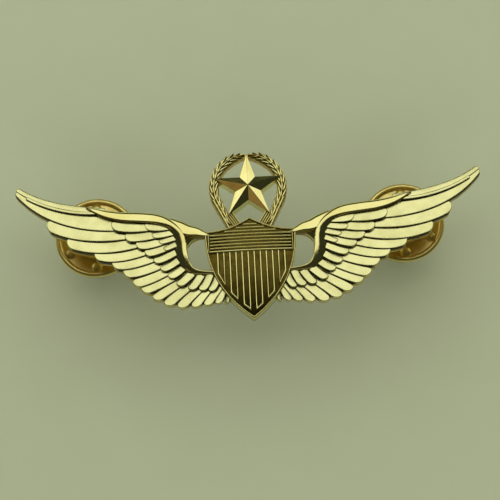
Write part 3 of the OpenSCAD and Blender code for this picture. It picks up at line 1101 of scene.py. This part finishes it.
        def spot(u: float, v: float) -> Spot:
            """A point of the line's top.

            Args:
                u: Share along the line.
                v: Share across it, from -1 to 1.

            Returns:
                The point.
            """
            here = min(int(u * len(ways) + 1e-6), len(ways) - 1)
            part = u * len(ways) - here
            across = eased(v)
            centre = corners[here].lerp(corners[here + 1], part)
            out = mitres[here].lerp(mitres[here + 1], part)
            place = centre + out * half_w * across
            ground = mix(self.dome(*place), self.crest - self.line_drop, self.line_level)
            height = ground + self.line_h * max(1 - across**flat, 0) ** 0.5 - self.ridge_drop
            # Paints shade along both sides of the raised line.
            return Spot(Vector((*place, height)), (u, across), abs(across) ** 6)

        form.raise_sheet(steps * len(ways), 10, spot, self.dome(*corners[0]) - self.ridge_sunk, finish=1)

    def build(self, gold: Material, ground: Material) -> None:
        """Builds and reports the shield.

        Args:
            gold: Finish of the rim and the raised lines.
            ground: Finish of the sunk ground: a blasted texture, darkened with painted shade between the
                raised lines.
        """
        form = Form()

        def block(u: float, v: float) -> Spot:
            """A point of the ground.

            Args:
                u: Share of the way from the lower edge to the top edge.
                v: Share across, from -1 to 1.

            Returns:
                The point.
            """
            t = 1 - abs(v)
            place = self.side_line(self.block_inset, t)
            place = place.lerp(self.crown_line(self.block_inset, t), u)
            place.x = math.copysign(place.x, v)
            return Spot(Vector((*place, self.dome(*place))), (place.x, place.y))

        def rim(u: float, v: float) -> Spot:
            """A point of the rim's rounded top.

            Args:
                u: Share round the rim.
                v: Share across it, from -1 to 1.

            Returns:
                The point.
            """
            turn = v * math.pi / 2
            share = (math.sin(turn) + 1) / 2
            place = self.round_line(0, u).lerp(self.round_line(self.rim_w, u), share)
            height = self.dome(*place) + self.rim_lift + self.rim_h * math.cos(turn) ** 0.8
            return Spot(Vector((*place, height)), (u * 50, share))

        form.raise_sheet(48, 96, block, 0.0)
        form.raise_sheet(240, 8, rim, self.rim_floor, closed=True, finish=1)
        pitch = (self.top - self.rim_w - self.chief_floor) / (self.chief_lines + 0.4)
        longest = self.reach_at(self.line_end_y, self.rim_w + self.line_end_clear)
        for i in range(self.chief_lines + 1):
            y = self.chief_floor + i * pitch
            reach = self.reach_at(y, self.rim_w + self.line_clear)
            if i:
                reach = min(reach, longest)
            if reach > self.shortest_line:
                half = self.line_half if i else self.border_half
                self.add_ridge(form, ((-reach, y), (reach, y)), half, 36, 2)
        for sign in (-1, 1):
            x = sign * self.reach_at(self.line_end_y, self.rim_w + self.side_line_clear)
            path = ((x, self.chief_floor), (x, self.top - self.side_line_drop))
            self.add_ridge(form, path, self.side_line_half, 12, 2)
        for i in range(self.stripes):
            middle = (i - (self.stripes - 1) / 2) * self.stripe_pitch
            left, right = middle - self.stripe_w / 2, middle + self.stripe_w / 2
            clear, root = self.rim_w + self.stripe_clear, self.chief_floor - self.stripe_root
            path = (
                (left, root), (left, self.low_at(left, clear)),
                (right, self.low_at(right, clear)), (right, root),
            )
            self.add_ridge(form, path, self.stripe_line_half, 14, 4)
        form.piece("shield_face", [ground, gold], "emblem", Slot.SHIELD, ["shield"])


# ---------------------------------------------------------------- wreath and star


@dataclass
class Wreath:
    """The wreath: a flat ring and legs, braided leaves, bound stems."""

    radius: float = 4.65
    centre_y: float = 11.65
    half_w: float = 0.64
    leg_turn: float = math.radians(-25)
    leg: float = 4.6
    base_t: float = 1.05
    leaf_rows: int = 11
    first_leaf: float = 2.3
    leaf_len: float = 2.25
    leaf_half: float = 0.23
    leaf_root: float = -0.15
    leaf_tip: float = 1.0
    leaf_z: float = 1.5
    leaf_rise: float = 0.1
    leaf_drop: float = 0.08
    leaf_sunk: float = 0.1
    leaf_size_at: float = 0.8
    # How the leaf's width swells from its root to its tip, and how its top falls to its edges.
    leaf_swell: Point = (0.08, 0.98)
    leaf_belly: float = 0.85
    leaf_fullness: float = 0.8
    leaf_roundness: float = 1.6
    least_leaf: float = 0.6
    # The three leaves of a row: how far down the row each springs, which way it bends, its height.
    leaf_row: tuple[tuple[float, int, float], ...] = ((0, 1, 0), (1 / 3, -1, -0.02), (-0.5, 0, 0.06))
    top_half: float = 0.16
    leg_half: float = 0.42
    ribs: int = 4
    # Each bound stem's ribs: where they leave the branch, how far they run, and their spread.
    stem_root: float = 1.9
    stem_in: Point = (0.66, 0.06)
    stem_run: Point = (1.55, 2.5)
    stem_spread: float = 1.15
    stem_half: float = 0.11
    stem_z: float = 1.62
    outer_stem_half: float = 0.16
    outer_stem_z: float = 1.68
    outer_stem_aside: float = 0.34
    stem_shoulder: float = 0.2
    outer_stem_start: float = 0.4
    outer_stem_flare: float = 1.3
    leafy_leg: float = 0.45

    @property
    def arc(self) -> float:
        """Length of a branch's round stretch."""
        return self.radius * (math.pi / 2 - self.leg_turn)

    def at(self, s: float) -> Vector:
        """A point on the right branch's centre line.

        Args:
            s: Distance down from the top, along the branch.

        Returns:
            The point, in the plane.
        """
        angle = math.pi / 2 - min(s, self.arc) / self.radius
        out = Vector((math.cos(angle), math.sin(angle)))
        round_part = Vector((0, self.centre_y)) + self.radius * out
        return round_part + self.way(s) * max(0, s - self.arc)

    def way(self, s: float) -> Vector:
        """The branch's direction, away from the top."""
        angle = math.pi / 2 - min(s, self.arc) / self.radius
        return Vector((math.sin(angle), -math.cos(angle)))

    def half_at(self, s: float) -> float:
        """Half the width of the leaf band.

        Args:
            s: Distance down from the top, along the branch.

        Returns:
            Half the width there.
        """
        rise = self.arc / 3
        if s < rise:
            return mix(self.top_half, self.half_w, math.sin(max(s, 0) / rise * math.pi / 2))
        return mix(self.half_w, self.leg_half, max(0, s - self.arc) / self.leg)

    def add_leaf(self, form: Form, root: float, bend: int, sign: int, height: float) -> None:
        """Adds one long pointed leaf, which lies along the branch and bends to one side of it.

        Args:
            form: The mesh to add to.
            root: Where the leaf springs, as a distance down from the top.
            bend: 1 for a leaf that bends inwards, -1 outwards, 0 for one that keeps to the middle.
            sign: 1 for the right branch, -1 for its mirror image.
            height: Height of its rib above the back face.
        """
        size = self.half_at(root - self.leaf_len * self.leaf_size_at) / self.half_w
        length = self.leaf_len * mix(self.least_leaf, 1, size)

        def spot(u: float, v: float) -> Spot:
            """A point of the leaf's top.

            Args:
                u: Share along the leaf, from root to tip.
                v: Share across it, from -1 to 1.

            Returns:
                The point.
            """
            swell = math.sin(math.pi * mix(*self.leaf_swell, u) ** self.leaf_belly)
            wide = self.leaf_half * size * swell**self.leaf_fullness
            across = eased(v)
            s = root - length * u
            aside = bend * size * self.half_w * mix(self.leaf_root, self.leaf_tip, u)
            aside += wide * across
            place = self.at(s) + left_of(-self.way(s)) * aside
            z = height + self.leaf_rise * u - self.leaf_drop * abs(across) ** self.leaf_roundness
            plan = (u * length, wide * across)
            # Paints shade along the leaf's edges.
            return Spot(Vector((sign * place.x, place.y, z)), plan, abs(across) ** 7)

        form.raise_sheet(14, 8, spot, self.base_t - self.leaf_sunk)

    def add_rib(self, form: Form, a: Vector, b: Vector, half: float, top: float, sign: int) -> None:
        """Adds one rounded straight bar, a stem.

        Args:
            form: The mesh to add to.
            a: One end, on the right branch.
            b: The other end.
            half: Half the bar's width.
            top: Its height above the back face.
            sign: 1 for the right branch, -1 for its mirror image.
        """
        out = left_of((b - a).normalized())

        def spot(u: float, v: float) -> Spot:
            """A point of the bar's top.

            Args:
                u: Share along the bar.
                v: Share across it, from -1 to 1.

            Returns:
                The point.
            """
            across = eased(v)
            place = a.lerp(b, u) + out * half * across
            z = top - self.stem_shoulder * (1 - max(1 - across**2, 0) ** 0.5)
            # Paints shade along the stem's edges.
            return Spot(Vector((sign * place.x, place.y, z)), (u, across), abs(across) ** 4)

        form.raise_sheet(14, 8, spot, self.base_t - self.leaf_sunk)

    def build(self, gold: Material, back: Material) -> None:
        """Builds and reports the wreath's pieces.

        Args:
            gold: Finish of the leaves and stems.
            back: Finish of the flat ring behind them.
        """
        backing("wreath_back", "wreath", self.base_t, back, Slot.WREATH)
        leaves, stems = Form(), Form()
        pitch = (self.arc + self.leg * self.leafy_leg) / self.leaf_rows
        for sign in (-1, 1):
            for row in range(self.leaf_rows):
                root = self.first_leaf + row * pitch
                for share, bend, lift in self.leaf_row:
                    self.add_leaf(leaves, root + pitch * share, bend, sign, self.leaf_z + lift)
            top = self.at(self.arc + self.stem_root) - Vector(self.stem_in)
            foot = top - Vector(self.stem_run)
            out = left_of((foot - top).normalized())
            for rib in range(self.ribs):
                aside = out * ((rib + 0.5) / self.ribs - 0.5) * self.stem_spread
                self.add_rib(stems, top + aside, foot + aside, self.stem_half, self.stem_z, sign)
            edge = left_of(self.way(self.arc + 1)) * self.outer_stem_aside
            start = self.at(self.arc - self.outer_stem_start) + edge * self.outer_stem_flare
            end = self.at(self.arc + self.leg) + edge
            self.add_rib(stems, start, end, self.outer_stem_half, self.outer_stem_z, sign)
        leaves.piece("wreath_leaves", [gold], "emblem", Slot.WREATH, sharp=55)
        stems.piece("wreath_stems", [gold], "emblem", Slot.WREATH)


@dataclass
class Star:
    """The five-pointed star: ten flat mirror facets on a straight-sided block."""

    points: int = 5
    edge_z: float = 1.8
    back_z: float = 0.02
    softening: float = 0.028

    def build(self, gold: Material) -> None:
        """Builds and reports the star.

        Args:
            gold: Its finish.
        """
        low, high = box_mm("star")
        tip = math.pi / self.points / 2
        radius = (high.x - low.x) / 2 / math.cos(tip)
        waist = radius * math.sin(tip) / math.cos(tip * 2)
        centre_y = high.y - radius
        form = Form()
        made = bmesh.ops.create_circle(
            form.bm, cap_ends=True, radius=radius, segments=self.points * 2
        )
        for i, vert in enumerate(made["verts"]):
            angle = math.pi / 2 + i * math.pi / self.points
            reach = waist if i % 2 else radius
            vert.co = (reach * math.cos(angle), centre_y + reach * math.sin(angle), self.back_z)
        grown = bmesh.ops.extrude_face_region(
            form.bm, geom=list(form.bm.faces), use_keep_orig=True
        )["geom"]
        for vert in (item for item in grown if isinstance(item, bmesh.types.BMVert)):
            vert.co.z = self.edge_z
        face = next(item for item in grown if isinstance(item, bmesh.types.BMFace))
        poked = bmesh.ops.poke(form.bm, faces=[face])
        crest = poked["verts"][0]
        crest.co = (0, centre_y, high.z)
        rim = {edge for item in poked["faces"] for edge in item.edges}
        form.bevel(rim, self.softening)
        form.piece("star_face", [gold], "emblem", Slot.STAR, ["star"], sharp=8)


# ---------------------------------------------------------------- posts and clutches


@dataclass
class Post:
    """A post with its brazed foot, the sunk ring that the spring grips, and its point."""

    side: Side
    shank_r: float = 0.6
    foot_t: float = 0.4
    foot_round: float = 0.12
    foot_edge: float = 0.08
    fillet_w: float = 0.42
    fillet_h: float = 0.5
    painted_shade_z: float = -5.84
    painted_shade_half: float = 0.3
    painted_shade_d: float = 0.12
    painted_shade_slope: float = 0.1
    # The point's profile: radius, and height above the tip.
    nose: tuple[Point, ...] = ((0.6, 0.8), (0.32, 0.28), (0.16, 0.06), (0.0, 0.0))

    def build(self, brass: Material) -> None:
        """Builds and reports the post.

        Args:
            brass: Its finish.
        """
        node = f"{self.side.word}_post"
        low, high = box_mm(node)
        axis = (low + high) / 2
        foot_r = (high.x - low.x) / 2
        r, g = self.shank_r, self.shank_r - self.painted_shade_d
        fillet = [
            (r + self.fillet_w * (1 - math.sin(a)), -self.foot_t - self.fillet_h * (1 - math.cos(a)))
            for a in (math.radians(15 * i) for i in range(7))
        ]
        upper, lower = self.painted_shade_z + self.painted_shade_half, self.painted_shade_z - self.painted_shade_half
        profile = [
            (0.0, 0.0), (foot_r - self.foot_edge, 0.0), (foot_r, -self.foot_edge),
            (foot_r, self.foot_round - self.foot_t), (foot_r - self.foot_round, -self.foot_t),
            *fillet, (r, upper + self.painted_shade_slope), (g, upper), (g, lower),
            (r, lower - self.painted_shade_slope), *((radius, low.z + z) for radius, z in self.nose),
        ]
        form = Form()
        form.turn(profile, 48, ring=False)
        form.shift(form.bm.verts, Matrix.Translation((axis.x, axis.y, 0)))
        form.piece(f"{node}_pin", [brass], "emblem", Slot.POST, [node])


@dataclass
class Clutch:
    """A butterfly clutch: a dished disc, a domed housing, a wire spring and two pinch tabs."""

    side: Side
    sheet: float = 0.3
    hole_r: float = 0.65
    bead_r: float = 0.42
    nubs: int = 6
    nub_r: float = 0.8
    nub_at: float = 4.2
    nub_turn: float = math.radians(30)
    nub_flat: float = 0.6
    nub_sink: float = 0.12
    # The disc's crimp ring over the housing, and the dish outside it.
    ring_at: float = 3.0
    ring_w: float = 0.22
    ring_h: float = 0.1
    ring_blank: float = 0.6
    dish_from: float = 3.2
    dish_w: float = 2.1
    dish_h: float = 0.07
    flange_bend: float = 0.3
    flange_gap: float = 0.02
    window_clear: float = 0.25
    wall_h: float = 1.0
    window_low: float = 2.0
    # The tabs' blades, with their rounded edge, pressed rib and narrower end.
    tab_t: float = 0.32
    tab_lean: float = math.radians(10)
    tab_lip: float = 0.12
    tab_lip_drop: float = 0.1
    tab_rib_h: float = 0.1
    tab_rib_w: float = 0.5
    tab_end: float = 0.42
    tongue_clear: float = 0.45
    softening: float = 0.06
    # The rolled hinge and the wire spring.
    hinge_r: float = 0.3
    wire_r: float = 0.2
    wall_inset: float = 0.9
    hinge_out: float = 0.1
    hinge_drop: float = 0.9
    spring_gap: float = math.radians(60)
    spring_leg: float = 1.1
    spring_bend: float = 0.12

    def __post_init__(self) -> None:
        """Takes the clutch's place and sizes from its CAD nodes."""
        word = self.side.word
        low, high = box_mm(f"{word}_clutch_disc")
        self.axis = Vector(((low.x + high.x) / 2, (low.y + high.y) / 2, 0))
        self.disc_r = (high.x - low.x) / 2
        self.disc_z = low.z
        low, high = box_mm(f"{word}_clutch_housing")
        self.flange_r = (high.x - low.x) / 2
        self.housing_r = self.flange_r - self.wall_inset
        self.housing_z = low.z
        low, high = box_mm(f"{word}_upper_tab")
        self.tab_w = high.x - low.x
        below_hinge = high.z - low.z - self.hinge_r - self.tab_t / 2 * math.sin(self.tab_lean)
        self.tab_reach = below_hinge / math.cos(self.tab_lean)
        low, high = box_mm(f"{word}_clutch_spring")
        self.spring_z = (low.z + high.z) / 2
        self.hinge = Vector((0, self.housing_r + self.hinge_out, self.disc_z - self.hinge_drop))

    def place(self, form: Form) -> None:
        """Moves a form drawn round the Z axis to the clutch's own axis."""
        form.shift(form.bm.verts, Matrix.Translation(self.axis))

    def build_disc(self, brass: Material) -> None:
        """Builds the dished disc with its rolled rim and its ring of nubs.

        Args:
            brass: Its finish.
        """
        word, form = self.side.word, Form()
        bead_at = self.disc_r - self.bead_r

        def middle(r: float) -> float:
            """Height of the sheet's middle.

            Args:
                r: Distance from the axis.

            Returns:
                The height there.
            """
            ring = self.ring_h * math.exp(-(((r - self.ring_at) / self.ring_w) ** 2))
            dish = self.dish_h * max(0, (r - self.dish_from) / self.dish_w) ** 2
            return self.disc_z + self.sheet / 2 + dish + ring

        radii = [mix(self.hole_r, bead_at, i / 34) for i in range(35)]
        thin = self.sheet / 2
        above = [(r, middle(r) + thin * 0.9) for r in radii]
        below = [(r, middle(r) - thin) for r in reversed(radii) if abs(r - self.ring_at) > self.ring_blank]
        form.turn([*above, *below], 72)
        bead = [
            (bead_at + self.bead_r * math.cos(a), self.disc_z + self.bead_r * (1 + math.sin(a)))
            for a in (math.tau * i / 16 for i in range(16))
        ]
        form.turn(bead, 72)
        for i in range(self.nubs):
            turn = self.nub_turn + i * math.tau / self.nubs
            bmesh.ops.create_uvsphere(
                form.bm, u_segments=20, v_segments=12, radius=self.nub_r,
                matrix=Matrix.Translation((
                    self.nub_at * math.cos(turn), self.nub_at * math.sin(turn),
                    middle(self.nub_at) + thin - self.nub_sink,
                )) @ Matrix.Diagonal((1, 1, self.nub_flat, 1)),
            )
        self.place(form)
        form.piece(
            f"{word}_disc_plate", [brass], f"{word}_shell", Slot.CLUTCH, [f"{word}_clutch_disc"]
        )

    def build_housing(self, brass: Material) -> None:
        """Builds the domed housing with a window for each tab.

        Args:
            brass: Its finish.
        """
        word, form, wall_r = self.side.word, Form(), self.housing_r
        wall_z = self.disc_z - self.wall_h
        dome_h = wall_z - self.housing_z
        bend_r, flange_z = self.flange_bend, self.disc_z - self.flange_gap
        flange = [(self.flange_r - self.flange_gap, flange_z), (wall_r + bend_r, flange_z)]
        bend = [
            (wall_r + bend_r * (1 - math.sin(a)), flange_z - bend_r * (1 - math.cos(a)))
            for a in (math.radians(22.5 * i) for i in range(1, 5))
        ]
        last = math.acos((self.hole_r + self.sheet) / wall_r)
        window_z = self.disc_z - self.window_low
        angles = [last * i / 18 for i in range(19)]
        dome = [(wall_r * math.cos(a), wall_z - dome_h * math.sin(a)) for a in angles]
        mouth = (self.hole_r + self.flange_gap, self.housing_z)
        faces = form.turn([*flange, *bend, *dome, mouth], 90, ring=False)
        half_w = self.tab_w / 2 + self.window_clear
        middles = [(face, face.calc_center_median()) for face in faces]
        opened = [
            face for face, middle in middles
            if abs(middle.x) < half_w and abs(middle.y) > 1
            and window_z < middle.z < self.disc_z - self.sheet
        ]
        bmesh.ops.delete(form.bm, geom=opened, context="FACES")
        bmesh.ops.recalc_face_normals(form.bm, faces=form.bm.faces)
        shell = list(form.bm.faces)
        outward = sum(face.normal.xy.dot(face.calc_center_median().xy) for face in shell)
        bmesh.ops.solidify(form.bm, geom=shell, thickness=self.sheet if outward > 0 else -self.sheet)
        self.place(form)
        form.piece(
            f"{word}_housing_dome", [brass], f"{word}_shell", Slot.CLUTCH, [f"{word}_clutch_housing"]
        )

    def build_spring(self, wire: Material) -> None:
        """Builds the C of wire that grips the post, with its two legs.

        Args:
            wire: Its finish.
        """
        word, form = self.side.word, Form()
        low, high = box_mm(f"{word}_clutch_spring")
        ring_r = (high.y - low.y) / 2 - self.wire_r
        half_gap = self.spring_gap / 2
        first = half_gap + self.spring_bend
        knee = Vector((ring_r * math.cos(half_gap), ring_r * math.sin(half_gap)))
        arc = [
            Vector((ring_r * math.cos(a), ring_r * math.sin(a)))
            for a in (mix(first, math.tau - first, i / 16) for i in range(17))
        ]
        legs = [Vector((self.spring_leg * share, 0)) for share in (1.0, 0.5, self.spring_bend)]
        stations = [
            *(knee + leg for leg in legs), *arc,
            *(Vector((knee.x, -knee.y)) + leg for leg in reversed(legs)),
        ]
        line = Track([tuple(point) for point in stations])
        form.wire(lambda u: Vector((*line.at(u), self.spring_z)), self.wire_r, 96)
        self.place(form)
        form.piece(
            f"{word}_spring_wire", [wire], f"{word}_catch", Slot.SPRING, [f"{word}_clutch_spring"]
        )

    def build_tab(self, upper: bool, brass: Material) -> None:
        """Builds a pinch tab: a leaning blade with a pressed rib, a rolled hinge and a tongue.

        Args:
            upper: Whether it is the tab on the +Y side.
            brass: Its finish.
        """
        word, form = self.side.word, Form()
        half, reach = self.tab_w / 2, self.tab_reach
        end_r = self.tab_w * self.tab_end

        def spot(u: float, v: float) -> Spot:
            """A point of the blade's outer face, drawn flat with its root at the origin.

            Args:
                u: Share along the blade, from its root.
                v: Share across it, from -1 to 1.

            Returns:
                The point.
            """
            y = -reach * math.sin(u * math.pi / 2)
            low = max(0, (-y - (reach - end_r)) / end_r)
            wide = mix(half, end_r, min(-y / (reach - end_r), 1))
            wide *= math.sqrt(max(1 - low**2, 0.0004))
            across = eased(v)
            lip = self.tab_lip
            near = max(0, 1 - wide * (1 - abs(across)) / lip, (-y - reach + lip) / lip)
            rib = self.tab_rib_h * math.exp(-((across * wide / self.tab_rib_w) ** 2))
            rib *= max(0, math.sin(math.pi * (-y / reach)))
            z = self.tab_t / 2 - self.tab_lip_drop * min(near, 1) ** 2 + rib
            return Spot(Vector((across * wide, y, z)), (across * wide, y))

        blade = form.raise_sheet(28, 24, spot, -self.tab_t / 2)
        form.shift(blade, Matrix.Rotation(math.pi / 2 + self.tab_lean, 4, "X"))
        knuckle = bmesh.ops.create_cone(
            form.bm, cap_ends=True, segments=24, radius1=self.hinge_r, radius2=self.hinge_r,
            depth=self.tab_w, matrix=Matrix.Rotation(math.pi / 2, 4, "Y"),
        )["verts"]
        rims = {
            edge for vert in knuckle for edge in vert.link_edges
            if abs(edge.verts[0].co.x - edge.verts[1].co.x) < 0.01
        }
        form.bevel(rims, self.softening)
        depth = self.hinge.y - self.hole_r - self.tongue_clear
        tongue = bmesh.ops.create_cube(
            form.bm, size=1.0,
            matrix=Matrix.Translation((0, -depth / 2, 0))
            @ Matrix.Diagonal((half, depth, self.tab_t, 1)),
        )["verts"]
        form.bevel({edge for vert in tongue for edge in vert.link_edges}, self.softening)
        form.shift(form.bm.verts, Matrix.Translation(self.hinge))
        name = f"{word}_{'upper' if upper else 'lower'}"
        if not upper:
            form.shift(form.bm.verts, Matrix.Rotation(math.pi, 4, "Z"))
        self.place(form)
        form.piece(f"{name}_tab_blade", [brass], f"{name}_pinch", Slot.CLUTCH, [f"{name}_tab"])

    def build(self, brass: Material, wire: Material) -> None:
        """Builds and reports the clutch's pieces.

        Args:
            brass: Finish of the pressed parts.
            wire: Finish of the spring.
        """
        self.build_disc(brass)
        self.build_housing(brass)
        self.build_spring(wire)
        for upper in (True, False):
            self.build_tab(upper, brass)


# ---------------------------------------------------------------- studio


@dataclass(frozen=True)
class SoftBox:
    """A soft light that faces the badge.

    Azimuth is its direction round the badge in degrees, 0 to the right and 90 up the badge, and
    height its angle above the floor. Distance and size are in millimetres. A brightness of
    1 mirrors as white, and a light that is not mirrored only lights what is rough.
    """

    name: str
    azimuth: float
    height: float
    distance: float
    size: Point
    brightness: float
    colour: str = "#FFFDF2"
    mirrored: bool = True

    def build(self) -> None:
        """Adds the light to the scene."""
        a, h = math.radians(self.azimuth), math.radians(self.height)
        out = Vector((math.cos(a) * math.cos(h), math.sin(a) * math.cos(h), math.sin(h)))
        data = bpy.data.lights.new(self.name, "AREA")
        data.shape = "RECTANGLE"
        data.size, data.size_y = self.size[0] * MM, self.size[1] * MM
        data.energy = self.brightness * math.pi * data.size * data.size_y
        data.color = linear(self.colour)[:3]
        light = bpy.data.objects.new(self.name, data)
        bpy.context.scene.collection.objects.link(light)
        light.location = out * self.distance * MM
        light.rotation_mode = "QUATERNION"
        light.rotation_quaternion = out.to_track_quat("Z", "Y")
        light.visible_glossy = self.mirrored


@dataclass
class Studio:
    """The pale floor, the soft lights and the camera."""

    target: Vector = field(default_factory=lambda: Vector((-0.13, 2.4, 2.0)))
    distance: float = 200.0
    pitch: float = math.radians(18)
    roll: float = math.radians(2.85)
    lens: float = 107.6
    floor_half: float = 900.0
    floor_gap: float = 0.01
    floor_tones: tuple[str, str] = ("#A6AE94", "#A2AA8E")
    floor_mottle: float = 6.0
    room_colour: str = "#8A8C74"
    room_strength: float = 0.12
    lights: tuple[SoftBox, ...] = (
        SoftBox("overhead_box", 90, 61, 420, (420, 360), 0.97),
        SoftBox("left_box", 144, 17, 420, (260, 150), 1.1),
        SoftBox("right_box", 36, 17, 420, (260, 150), 1.0),
        SoftBox("near_left_box", 221, 37, 420, (120, 90), 0.22, "#FFCC90"),
        SoftBox("low_front_box", 270, 24, 420, (420, 160), 0.16, "#F0E0B0"),
        SoftBox("room_light", 90, 80, 600, (1700, 1500), 0.36, mirrored=False),
        *(
            SoftBox(f"wall_light_{azimuth}", azimuth, 26, 600, (700, 300), 2.1, mirrored=False)
            for azimuth in (0, 90, 180, 270)
        ),
    )

    def build_camera(self) -> None:
        """Places the camera, which looks down at the badge from a little below."""
        back = Vector((0, -math.sin(self.pitch), math.cos(self.pitch)))
        level = Vector((1, 0, 0))
        upright = back.cross(level)
        right = level * math.cos(self.roll) - upright * math.sin(self.roll)
        up = level * math.sin(self.roll) + upright * math.cos(self.roll)
        data = bpy.data.cameras.new("camera")
        data.lens = self.lens
        data.sensor_width = 36.0
        data.clip_start, data.clip_end = 0.01, 10.0
        camera = bpy.data.objects.new("camera", data)
        bpy.context.scene.collection.objects.link(camera)
        turned = Matrix((right, up, back)).transposed().to_4x4()
        camera.matrix_world = Matrix.Translation((self.target + back * self.distance) * MM) @ turned
        bpy.context.scene.camera = camera

    def build_floor(self) -> None:
        """Lays the plain floor that the badge stands on."""
        material = bpy.data.materials.new("pale_paper")
        material.use_nodes = True
        tree = material.node_tree
        shader = tree.nodes["Principled BSDF"]
        shader.inputs["Roughness"].default_value = 0.85
        shader.inputs["Specular IOR Level"].default_value = 0.2
        where = add_node(tree, "ShaderNodeTexCoord")
        mottle = add_node(
            tree, "ShaderNodeTexNoise", {"Scale": 1 / (self.floor_mottle * MM), "Detail": 4.0},
            {"Vector": where.outputs["Object"]},
        )
        tone = add_node(
            tree, "ShaderNodeMix",
            {"data_type": "RGBA", 6: linear(self.floor_tones[0]), 7: linear(self.floor_tones[1])},
            {0: mottle.outputs["Fac"]},
        )
        tree.links.new(tone.outputs[2], shader.inputs["Base Color"])
        bm = bmesh.new()
        bmesh.ops.create_grid(bm, x_segments=2, y_segments=2, size=self.floor_half * MM)
        mesh = bpy.data.meshes.new("floor")
        bmesh.ops.translate(bm, vec=(0, 0, CAD_BOX[0].z - self.floor_gap * MM), verts=bm.verts)
        bm.to_mesh(mesh)
        bm.free()
        mesh.materials.append(material)
        floor = bpy.data.objects.new("floor", mesh)
        bpy.context.scene.collection.objects.link(floor)
        floor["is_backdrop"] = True

    def build(self) -> None:
        """Builds the camera, the floor, the lights and the dark room that the metal mirrors."""
        self.build_camera()
        self.build_floor()
        for light in self.lights:
            light.build()
        world = bpy.data.worlds.new("dim_room")
        world.use_nodes = True
        background = world.node_tree.nodes["Background"]
        background.inputs["Color"].default_value = linear(self.room_colour)
        background.inputs["Strength"].default_value = self.room_strength
        bpy.context.scene.world = world
        bpy.context.scene.view_settings.view_transform = "Standard"


def main() -> None:
    """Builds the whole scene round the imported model."""
    logging.basicConfig(level=logging.INFO, format="%(name)s: %(message)s")
    Studio().build()
    gold, feather_gold = POLISHED_GOLD.make(), FEATHER_GOLD.make()
    back, ground = BACK_GOLD.make(), BLASTED_GROUND_WITH_PAINTED_SHADE.make()
    amber, wire, brazed = AMBER_BRASS.make(), SPRING_WIRE.make(), BRAZED_BRASS.make()
    for side in Side:
        Wing(side).build(gold, feather_gold, back)
    Shield().build(gold, ground)
    Wreath().build(gold, back)
    Star().build(gold)
    for side in Side:
        Post(side).build(brazed)
        Clutch(side).build(amber, wire)
    made = {"cad": CAD_BOX, "visual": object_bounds()}
    {name: [list(corner) for corner in box] for name, box in made.items()}


if __name__ == "__main__":
    main()
